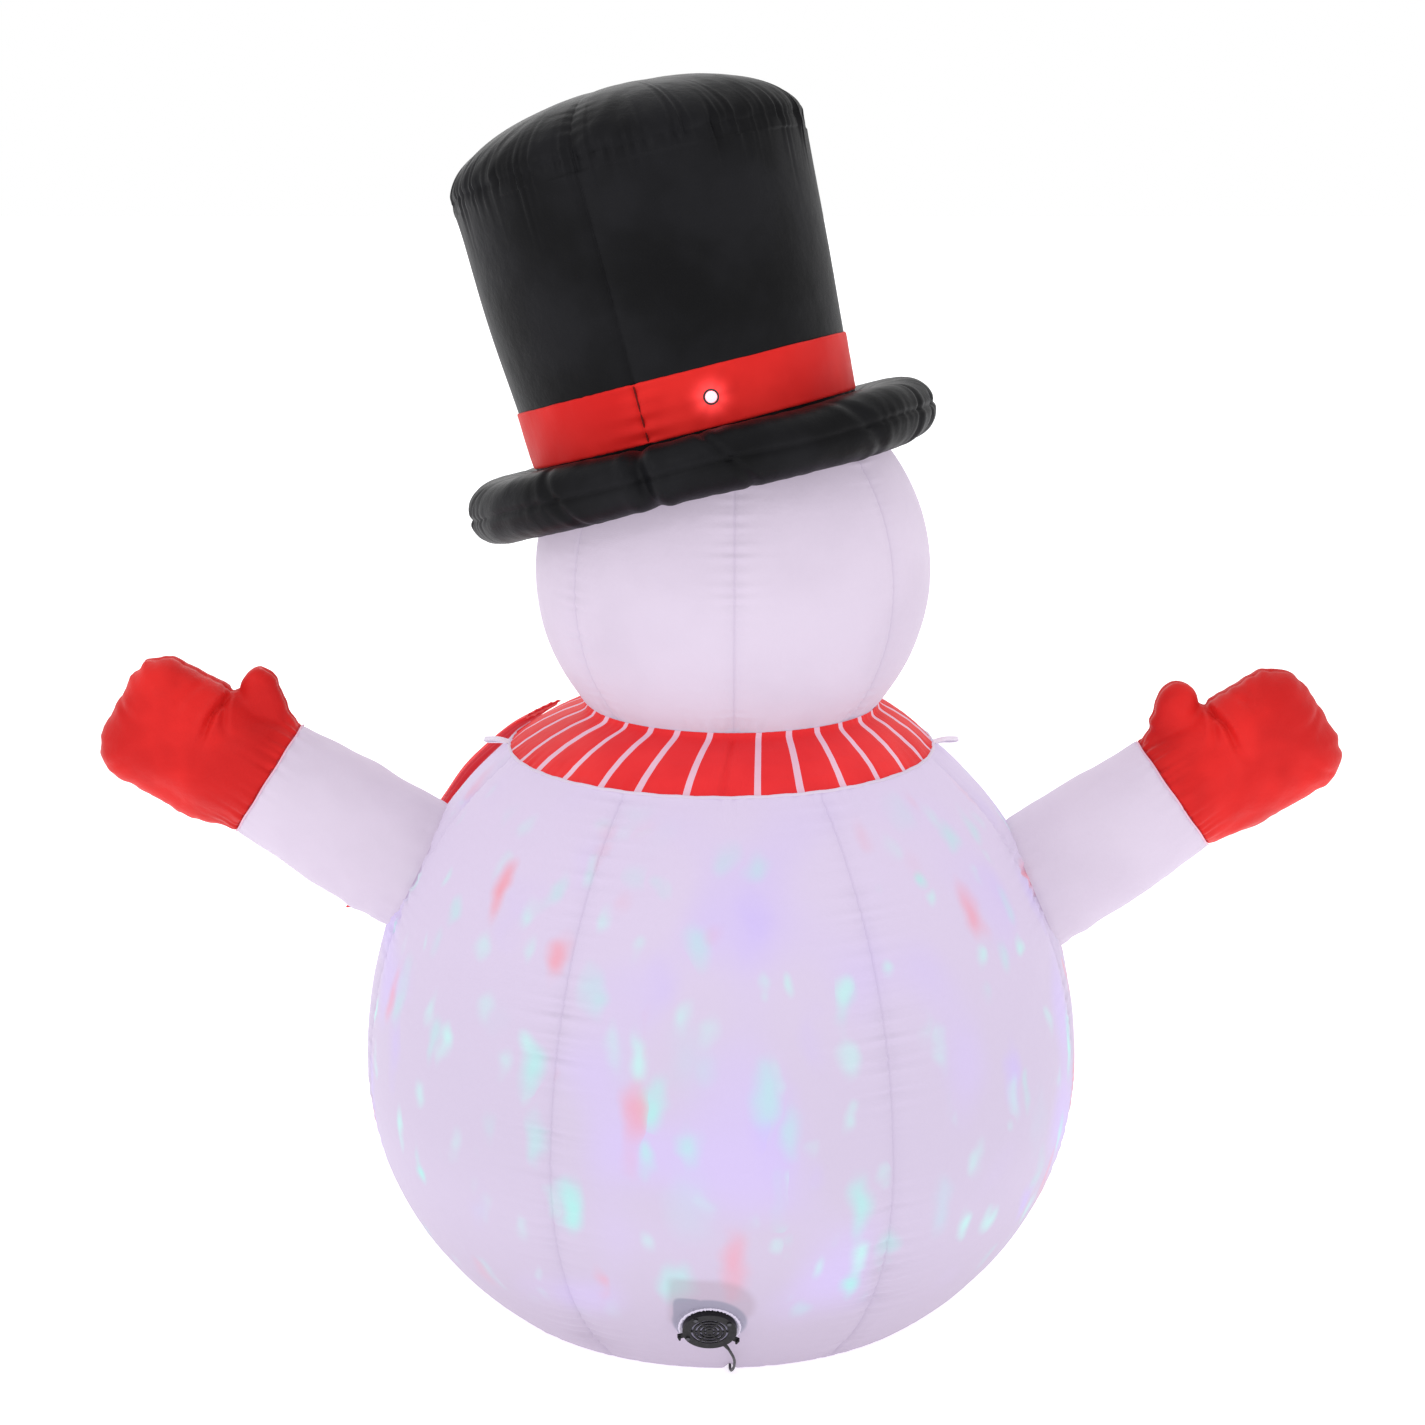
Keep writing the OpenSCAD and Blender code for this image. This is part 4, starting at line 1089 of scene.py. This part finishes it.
def brim_skin():
    """An inflated ring, seamed round its outer edge, with folds where it is pulled."""
    middle, half_w, half_h, power = 0.2945, 0.0552, 0.0448, 2.35
    a = np.linspace(-math.pi, math.pi, 121)
    c, s = np.cos(a), np.sin(a)
    r = middle + half_w * np.sign(c) * np.abs(c) ** (2 / power)
    z = half_h * np.sign(s) * np.abs(s) ** (2 / power)
    profile = even(np.stack([r, z], 1), 0.0027)
    turns = np.unique(np.concatenate([np.linspace(-math.pi, math.pi, 620, endpoint=False),
                                      BRIM_FOLD + np.linspace(-0.05, 0.05, 30)]))
    ripple = Ripple(101)
    rng = np.random.default_rng(9)
    folds = [(BRIM_FOLD, 0.0110, 0.010, -0.2)]
    folds += [(rng.uniform(-math.pi, math.pi), rng.uniform(0.0015, 0.0040), rng.uniform(0.005, 0.010),
               rng.uniform(-1.8, 1.8)) for _ in range(15)]

    def offset(t, points, _):
        radius = np.hypot(points[..., 0], points[..., 1])
        height = points[..., 2]
        outside = np.clip((radius - middle) / half_w, 0, 1)
        run = t * 0.34
        seam = (-0.0032 * bump_of(height, 0.0050) - 0.0014 * bump_of(height, 0.0018)) * outside ** 2
        reach = np.clip(0.020 + 0.012 * wave(run, 0.055, 102), 0.007, 1)
        train = wave(run, 0.024, 103, 6) + 0.4 * wave(run, 0.011, 104)
        local = np.clip(0.5 + 0.7 * wave(run, 0.17, 107), 0.1, 1.3)
        gathers = 0.0006 * train * local * np.exp(-(np.abs(height) / reach)) * outside
        slant = 0.0006 * wave(run + 1.1 * height, 0.085, 105, 5) * (0.35 + 0.65 * outside)
        inner = 0.0014 * wave(t * 0.25, 0.026, 106, 5) * (1 - outside) * np.exp(-np.abs(height) / 0.030)
        deep = 0
        for at, depth, width, lean in folds:
            d = ((t - at + math.pi) % (2 * math.pi) - math.pi) * 0.32 + lean * height * 0.4
            deep = deep - depth * bump_of(d, width) + 0.35 * depth * bump_of(np.abs(d) - 2.1 * width, width)
        broad = 0.0024 * ripple(points, 0.26)
        tucked = 0.0040 * np.clip((middle - radius) / half_w, 0, 1)
        return seam + gathers + slant + inner + deep * (0.3 + 0.7 * outside) + broad + tucked - 0.0012

    obj = lathe("hat_brim_skin", profile[:-1], turns, offset)
    rows, columns = len(profile) - 1, len(turns)
    co = read_points(obj.data)
    t = np.arctan2(co[:, 0], co[:, 1])
    out = np.clip((np.hypot(co[:, 0], co[:, 1]) - 0.24) / 0.11, 0, 1)
    co[:, 2] += out * (0.0032 * np.sin(3 * t + 0.8) + 0.0018 * np.sin(7 * t + 2.0))
    co = placed(co, HAT)
    faces = grid_faces(rows, columns, True, True)
    last = (rows - 1) * columns
    faces += [(k, last + k, last + (k + 1) % columns, (k + 1) % columns)[::-1] for k in range(columns)]
    bpy.data.objects.remove(obj)
    obj = new_object("hat_brim_skin", co, faces)
    obj.data.materials.append(M["black"])
    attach(obj, "head")
    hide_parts("hat_brim")


head_skin()
disc_patches("eye_patches", [(-0.080, 0.045, 0.024), (0.080, 0.045, 0.024)], on_head, 0.0028, M["black"],
             "eyes", "head")
SMILE = [(0.135 * math.sin(math.radians(a)), 0.040 - 0.135 * math.cos(math.radians(a)), 0.012)
         for a in range(-50, 51, 20)]
disc_patches("mouth_patches", SMILE, on_head, 0.0026, M["black"], "mouth_dots", "head")
disc_patches("button_patches", [(0.0, z, 0.042) for z in (0.420, 0.570, 0.710)], on_ball, 0.0036, M["black"],
             "coat_buttons", "torso")
carrot_nose()
lamp_lead()
crown_skin()
band_skin()
brim_skin()


# --- arms ------------------------------------------------------------------------------------------
def sleeve_skin(side):
    """One tube from the seam on the ball to the wrist."""
    at = arm_matrix(side)
    mirrored = at.to_3x3().determinant() < 0
    columns = 132
    turns = np.linspace(0, 2 * math.pi, columns, endpoint=False)
    m = np.array(at)

    def radius(s):
        return np.interp(s, [-0.06, 0.035, 0.121, SLEEVE_LEN],
                         [SLEEVE_R, SLEEVE_R, SLEEVE_R - 0.003, WRIST_R])

    start = []
    for t in turns:
        for s in np.linspace(0.060, -0.075, 271):
            p = m[:3, :3] @ np.array([SLEEVE_R * math.sin(t), SLEEVE_R * math.cos(t), s]) + m[:3, 3]
            if math.hypot(p[0], p[1]) < float(ball_radius(np.array(p[2]))) - 0.002:
                break
        start.append(s)
    start = np.array(start)
    for _ in range(6):
        start = (np.roll(start, 1) + 2 * start + np.roll(start, -1)) / 4
    rows = 72
    u = np.linspace(0, 1, rows)[:, None] ** 1.15
    s = start[None, :] + (SLEEVE_LEN - start[None, :]) * u
    r = radius(s)
    t = turns[None, :] + 0 * s
    from_seam, from_wrist = s - start[None, :], SLEEVE_LEN - s
    ripple = Ripple(121 if side == "left" else 122)
    local = np.stack([r * np.sin(t), r * np.cos(t), s], -1)
    under = np.clip(-np.sin(t), 0, 1)
    push = (0.0009 * wave(t * 0.10, 0.026, 123, 5) * np.exp(-from_seam / 0.022)
            + 0.0016 * wave(t * 0.093, 0.017, 124, 5) * np.exp(-from_wrist / 0.016)
            - 0.0018 * np.exp(-(from_wrist / 0.0035) ** 2) - 0.0016 * np.exp(-(from_seam / 0.005) ** 2)
            + 0.0026 * under * wave(from_seam + 0.02 * np.cos(t), 0.055, 125) * np.exp(-from_seam / 0.07)
            + 0.0014 * ripple(local, 0.15) + 0.0007 * ripple(local, 0.06))
    push = push - 0.0075 * under ** 1.5 * np.exp(-(from_seam / 0.10) ** 2)
    seam_gap = np.abs((t - 1.5 * math.pi + math.pi) % (2 * math.pi) - math.pi) * r
    push = push - 0.0014 * bump_of(seam_gap, 0.004) + 0.0008 * wave(s, 0.022, 126) * np.exp(-seam_gap / 0.02)
    r = r + push
    points = np.stack([r * np.sin(t), r * np.cos(t), s], -1).reshape(-1, 3)
    obj = new_object("sleeve_skin_" + side, placed(points, at), grid_faces(rows, columns, True, not mirrored))
    obj.data.materials.append(M["white"])
    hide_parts("sleeve_" + side, "shoulder_gusset_" + side)
    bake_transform(obj)


def ball_points(at, r):
    """Evenly spread points on a sphere."""
    count = 420
    k = np.arange(count) + 0.5
    phi, theta = np.arccos(1 - 2 * k / count), math.pi * (1 + 5 ** 0.5) * k
    way = np.stack([np.cos(theta) * np.sin(phi), np.sin(theta) * np.sin(phi), np.cos(phi)], 1)
    return np.array(at) + r * way


def hull_into(mesh, points):
    """Adds the points' convex hull to the mesh."""
    b = bmesh.new()
    for p in points:
        b.verts.new(p)
    result = bmesh.ops.convex_hull(b, input=b.verts)
    loose = [g for g in result["geom_interior"] + result["geom_unused"] if isinstance(g, bmesh.types.BMVert)]
    bmesh.ops.delete(b, geom=list(set(loose)), context="VERTS")
    spare = bpy.data.meshes.new("hull")
    b.to_mesh(spare)
    b.free()
    b = bmesh.new()
    b.from_mesh(mesh)
    b.from_mesh(spare)
    b.to_mesh(mesh)
    b.free()
    bpy.data.meshes.remove(spare)


def modified(obj, kind, **values):
    """Adds a modifier and applies it."""
    modifier = obj.modifiers.new(kind.lower(), kind)
    for key, value in values.items():
        setattr(modifier, key, value)
    depsgraph = bpy.context.evaluated_depsgraph_get()
    mesh = bpy.data.meshes.new_from_object(obj.evaluated_get(depsgraph))
    obj.modifiers.clear()
    obj.data = mesh


def mitten(side):
    """Two panels sewn round the edge, thumb up, gathered at the fingertips and creased at the thumb."""
    mesh = bpy.data.meshes.new("mitten")
    wrist = np.linspace(0, 2 * math.pi, 72, endpoint=False)
    hand = [np.stack([(WRIST_R - 0.001) * np.sin(wrist), (WRIST_R - 0.001) * np.cos(wrist),
                      0 * wrist + SLEEVE_LEN + d], 1) for d in (0.0, 0.003)]
    hand += [ball_points((q, 0, s), 0.0595)
             for q, s in ((-0.056, 0.330), (-0.058, 0.433), (0.027, 0.433), (0.028, 0.335))]
    thumb = [ball_points((q, 0, s), r)
             for q, s, r in ((0.055, 0.300, 0.0335), (0.116, 0.326, 0.0295), (0.076, 0.268, 0.0255))]
    hull_into(mesh, np.concatenate(hand))
    hull_into(mesh, np.concatenate(thumb))
    obj = bpy.data.objects.new("mitten_" + side + "_shell", mesh)
    scene.collection.objects.link(obj)
    modified(obj, "REMESH", mode="VOXEL", voxel_size=0.0042)
    modified(obj, "SMOOTH", factor=0.5, iterations=9)
    mesh = obj.data
    co, no = read_points(mesh), read_points(mesh, "normal")
    q, y, s = co.T
    seed = 140 if side == "left" else 160
    run = np.arctan2(q + 0.012, s - 0.375) * 0.115
    tips = np.clip((s - 0.36) / 0.10, 0, 1)
    seam = np.clip((s - SLEEVE_LEN - 0.004) / 0.02, 0, 1)
    push = (-0.0030 * bump_of(y, 0.0050) - 0.0010 * bump_of(y, 0.0020)) * seam
    push += 0.0025 * tips * wave(run, 0.029, seed, 4) * np.exp(-np.abs(y) / 0.022)
    push += 0.0013 * wave(run, 0.020, seed + 1, 5) * np.exp(-np.abs(y) / 0.020) * seam
    crotch = np.array([0.086, 0.357])

    def crease(a, b, depth, width):
        """A fold from a that dies out towards b, with a soft ridge on each side."""
        a, b = np.array(a), np.array(b)
        way = (b - a) / np.linalg.norm(b - a)
        along = (q - a[0]) * way[0] + (s - a[1]) * way[1]
        off = (q - a[0]) * -way[1] + (s - a[1]) * way[0]
        off = off + 0.004 * np.sin(along * 60)
        length = np.linalg.norm(b - a)
        inside = np.clip(1 - along / length, 0, 1) * bump_of(np.minimum(along - 0.008, 0), 0.008)
        w = width * (0.6 + 0.8 * np.clip(along / length, 0, 1))
        ridge = 0.35 * np.clip(along / 0.03, 0, 1)
        return inside * depth * (ridge * bump_of(np.abs(off) - 2.0 * w, w) - bump_of(off, w))

    push += crease(crotch, (-0.004, 0.360), 0.0185, 0.0050)
    push += crease(crotch, (0.040, 0.326), 0.0120, 0.0046)
    push += crease((0.080, 0.400), (0.030, 0.412), 0.0040, 0.0060)
    push += crease((-0.105, 0.455), (-0.040, 0.425), 0.0035, 0.0080)
    push += crease((-0.010, 0.488), (-0.014, 0.430), 0.0040, 0.0070)
    push += crease((0.125, 0.262), (0.062, 0.270), 0.0030, 0.0070)
    push += 0.0022 * wave(np.arctan2(q, y) * WRIST_R, 0.018, seed + 2, 5) * np.exp(
        -np.clip(s - SLEEVE_LEN, 0, 1) / 0.020)
    ripple = Ripple(seed + 3)
    push += 0.0022 * ripple(co, 0.13) * seam + 0.0009 * ripple(co, 0.05) * seam
    co = co + no * push[:, None]
    back = co[:, 2] < SLEEVE_LEN + 0.0005
    co[back, 2] = SLEEVE_LEN + 0.0005
    at = arm_matrix(side)
    write_points(mesh, placed(co, at))
    if at.to_3x3().determinant() < 0:
        mesh.flip_normals()
    modified(obj, "SMOOTH", factor=0.35, iterations=1)
    modified(obj, "SUBSURF", levels=1, render_levels=1)
    obj.data.shade_smooth()
    obj.data.materials.append(M["red"])
    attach(obj, "arm_" + side)
    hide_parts("mitten_" + side)
    a = np.linspace(0, 2 * math.pi, 150)
    ring = np.stack([(WRIST_R + 0.0002) * np.sin(a), (WRIST_R + 0.0002) * np.cos(a),
                     SLEEVE_LEN + 0.0005 * np.sin(9 * a)], 1)
    welt = sweep_mesh("wrist_welt_" + side, [placed(ring, at)], 0.0014, 8)
    welt.data.materials.append(M["stripe"])
    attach(welt, "arm_" + side)


for which_arm in ARMS:
    sleeve_skin(which_arm)
    mitten(which_arm)


# --- blower cuff -----------------------------------------------------------------------------------
def blower_cuff():
    """Elastic cuff of the same cloth, gathered round the intake."""
    profile = even([(0.0480, -0.010), (0.0474, -0.0050), (0.0458, -0.0020), (0.0441, 0.0004),
                    (0.0431, 0.0030), (0.0420, 0.0042), (0.0409, 0.0040), (0.0399, 0.0026), (0.0393, 0.0006),
                    (0.0393, -0.004)], 0.0008)
    turns = np.linspace(-math.pi, math.pi, 300, endpoint=False)

    def offset(t, points, arc):
        return 0.0005 * wave(t * 0.0435, 0.0042, 171, 6) + 0.0003 * wave(t * 0.0435 + arc, 0.009, 172)

    obj = lathe("blower_cuff_ring", profile, turns, offset, BLOWER)
    obj.data.materials.append(M["cuff"])
    obj.data.materials.append(M["ball"])
    columns = len(turns)
    index = [1 if profile[k // columns][0] > 0.0436 else 0 for k in range(len(obj.data.polygons))]
    obj.data.polygons.foreach_set("material_index", index)
    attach(obj, "torso")
    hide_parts("blower_cuff")


blower_cuff()


# --- tether loops ----------------------------------------------------------------------------------
def tether_loop(side):
    """A strip of webbing folded flat, held out by the collar's seam."""
    low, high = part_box("tether_loop_" + side)
    sign = 1.0 if side == "left" else -1.0
    root = min(abs(low.x), abs(high.x)) - 0.004
    reach = max(abs(low.x), abs(high.x)) - root
    u = np.concatenate([np.linspace(0, 1, 24), np.linspace(1, 0, 24)[1:]])
    gap = np.where(np.arange(len(u)) < 24, 1, -1) * 0.0017 * np.sin(math.pi * u ** 1.6) ** 0.7
    x = sign * (root + reach * (1 - (1 - u) ** 1.1))
    z = (low.z + high.z) / 2 - 0.001 + 0.17 * reach * u + 0.0012 * np.sin(5 * u) + gap
    y = np.linspace(low.y, high.y, 16)
    points = np.array([(a, b, c) for a, c in zip(x, z) for b in y])
    obj = new_object("tether_webbing_" + side, points, grid_faces(len(u), len(y), wrap=False))
    modified(obj, "SOLIDIFY", thickness=0.0011, offset=0.0)
    obj.data.materials.append(WEBBING)
    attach(obj, "torso")
    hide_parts("tether_loop_" + side)


# --- the frame's own nodes -------------------------------------------------------------------------
def webbing():
    n = Nodes("webbing")
    at = n.place()
    x, y, z = n.xyz(at)
    ribs = n.math("SINE", n.math("MULTIPLY", n.math("ADD", x, n.math("ADD", y, z)), 2600.0))
    shade = n.mix(n.ramp(ribs, -0.6, 0.9), rgb(222, 212, 230), rgb(242, 236, 248))
    # Part of the colour is emitted: a painted glow that lifts the webbing out of its shade.
    return n.set(color=shade, rough=0.8, sheen=0.1, glow=shade, power=0.15, normal=n.bump(ribs, 0.0004, 0.6))


def steel(name, colour, rough):
    """Metal, brushed along its length."""
    n = Nodes(name)
    at = n.place(scale=(1.0, 1.0, 0.12))
    streaks = n.noise(at, 420.0, 4.0, 0.6)
    shade = n.mix(streaks, brighter(colour, 0.8), colour)
    return n.set(color=shade, metal=1.0, rough=n.ramp(streaks, 0.3, 0.7, rough - 0.06, rough + 0.1),
                 normal=n.bump(streaks, 0.00004, 0.4))


def circuit_board():
    n = Nodes("circuit_board")
    at = n.place()
    tracks = n.ramp(n.cells(at, 420.0, "MANHATTAN")["Distance"], 0.42, 0.30)
    shade = n.mix(tracks, rgb(18, 82, 48), rgb(44, 128, 74))
    return n.set(color=shade, rough=0.35, coat=0.4, normal=n.bump(tracks, 0.00008, 0.5))


def clear_plastic(name, tint, frost, glow=0.0, glow_colour=None):
    n = Nodes(name)
    at = n.place()
    height = n.cells(at, 110.0)["Distance"]
    shade = n.mix(n.ramp(n.noise(at, 200.0, 2.0), 0.3, 0.7), tint, brighter(tint, 1.1))
    values = dict(color=shade, rough=frost, clear=0.85, ior=1.49, normal=n.bump(height, 0.0006, 0.5))
    if glow:
        values.update(glow=glow_colour or tint, power=glow)
    return n.set(**values)


def led_package():
    n = Nodes("led_package")
    at = n.place()
    x, y = n.xyz(at)[:2]
    swirl = n.noise(at, 300.0, 2.0)
    warm = n.mix(n.ramp(x, -0.004, 0.004), rgb(90, 120, 255), rgb(255, 80, 80))
    shade = n.mix(n.ramp(y, 0.002, 0.008), warm, rgb(90, 235, 150))
    return n.set(color=shade, rough=n.ramp(swirl, 0.3, 0.7, 0.15, 0.3), glow=shade, power=1.5)


def dress():
    """Gives each kept node its finish."""
    black = moulded("black_plastic", rgb(30, 30, 33), 0.42, coat=0.1)
    grille = moulded("grille_plastic", rgb(21, 20, 22), 0.45, 0.00015, spread=0.06, specular=0.2)
    grey = moulded("grey_plastic", rgb(150, 150, 158), 0.5)
    white = moulded("white_plastic", rgb(226, 224, 230), 0.45)
    rubber = moulded("boot_rubber", rgb(22, 22, 24), 0.62, 0.0002)
    screws = steel("screw_steel", rgb(84, 84, 88), 0.34)
    motor = steel("motor_steel", rgb(170, 172, 178), 0.34)
    brass = steel("contact_brass", rgb(205, 180, 110), 0.26)
    lens = clear_plastic("lamp_lens", rgb(255, 214, 222), 0.18, 1.4, rgb(255, 190, 205))
    finishes = {
        WEBBING: ["hanger_strap"],
        grey: ["blower_front_shell", "blower_rear_shell", "projector_housing"],
        white: ["impeller"],
        grille: ["blower_cap"],
        black: ["power_adapter", "hat_lamp_grommet"],
        rubber: ["lead_boot", "lead_gland", "inner_light_lead"],
        screws: ["blower_screws", "cap_screws", "impeller_shaft", "globe_shaft"],
        motor: ["blower_motor", "projector_motor"],
        brass: ["adapter_prongs"],
        circuit_board(): ["projector_led_board"],
        led_package(): ["projector_leds"],
        clear_plastic("globe_lens", rgb(214, 240, 246), 0.06): ["projector_lens_globe"],
        lens: ["hat_lamp_lens"],
    }
    for material, names in finishes.items():
        for name in names:
            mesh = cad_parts[name].data
            mesh.materials.clear()
            mesh.materials.append(material)


WEBBING = webbing()
for which_loop in ARMS:
    tether_loop(which_loop)
dress()


# --- floor, lights and camera ----------------------------------------------------------------------
def floor():
    n = Nodes("studio_floor")
    at = n.place()
    shade = n.mix(n.noise(at, 1.2, 2.0), rgb(250, 250, 252), rgb(254, 254, 255))
    n.set(color=shade, rough=0.9, specular=0.1, glow=shade, power=0.50,
          normal=n.bump(n.noise(at, 300.0, 2.0), 0.0001, 0.2))
    size = 40
    obj = new_object("studio_floor", [(-size, -size, -0.0005), (size, -size, -0.0005), (size, size, -0.0005),
                                      (-size, size, -0.0005)], [(0, 1, 2, 3)], False)
    obj.data.materials.append(n.material)


def area_light(name, at, target, size, power):
    data = bpy.data.lights.new(name, "AREA")
    data.shape = "DISK"
    data.size = size
    data.energy = power
    obj = bpy.data.objects.new(name, data)
    scene.collection.objects.link(obj)
    obj.location = at
    obj.rotation_euler = (Vector(target) - Vector(at)).to_track_quat("-Z", "Y").to_euler()


def studio():
    world = bpy.data.worlds.new("studio")
    world.use_nodes = True
    world.node_tree.nodes["Background"].inputs["Color"].default_value = (1, 1, 1, 1)
    world.node_tree.nodes["Background"].inputs["Strength"].default_value = 1.0
    scene.world = world
    area_light("key", (2.6, 3.6, 3.4), (0, 0, 1.0), 1.1, 26)
    area_light("fill", (-3.2, 3.0, 2.0), (0, 0, 0.8), 2.4, 8)
    area_light("front", (0.8, -4.2, 2.8), (0, 0, 0.9), 2.4, 22)
    scene.view_settings.view_transform = "Standard"
    scene.view_settings.look = "None"


floor()
studio()
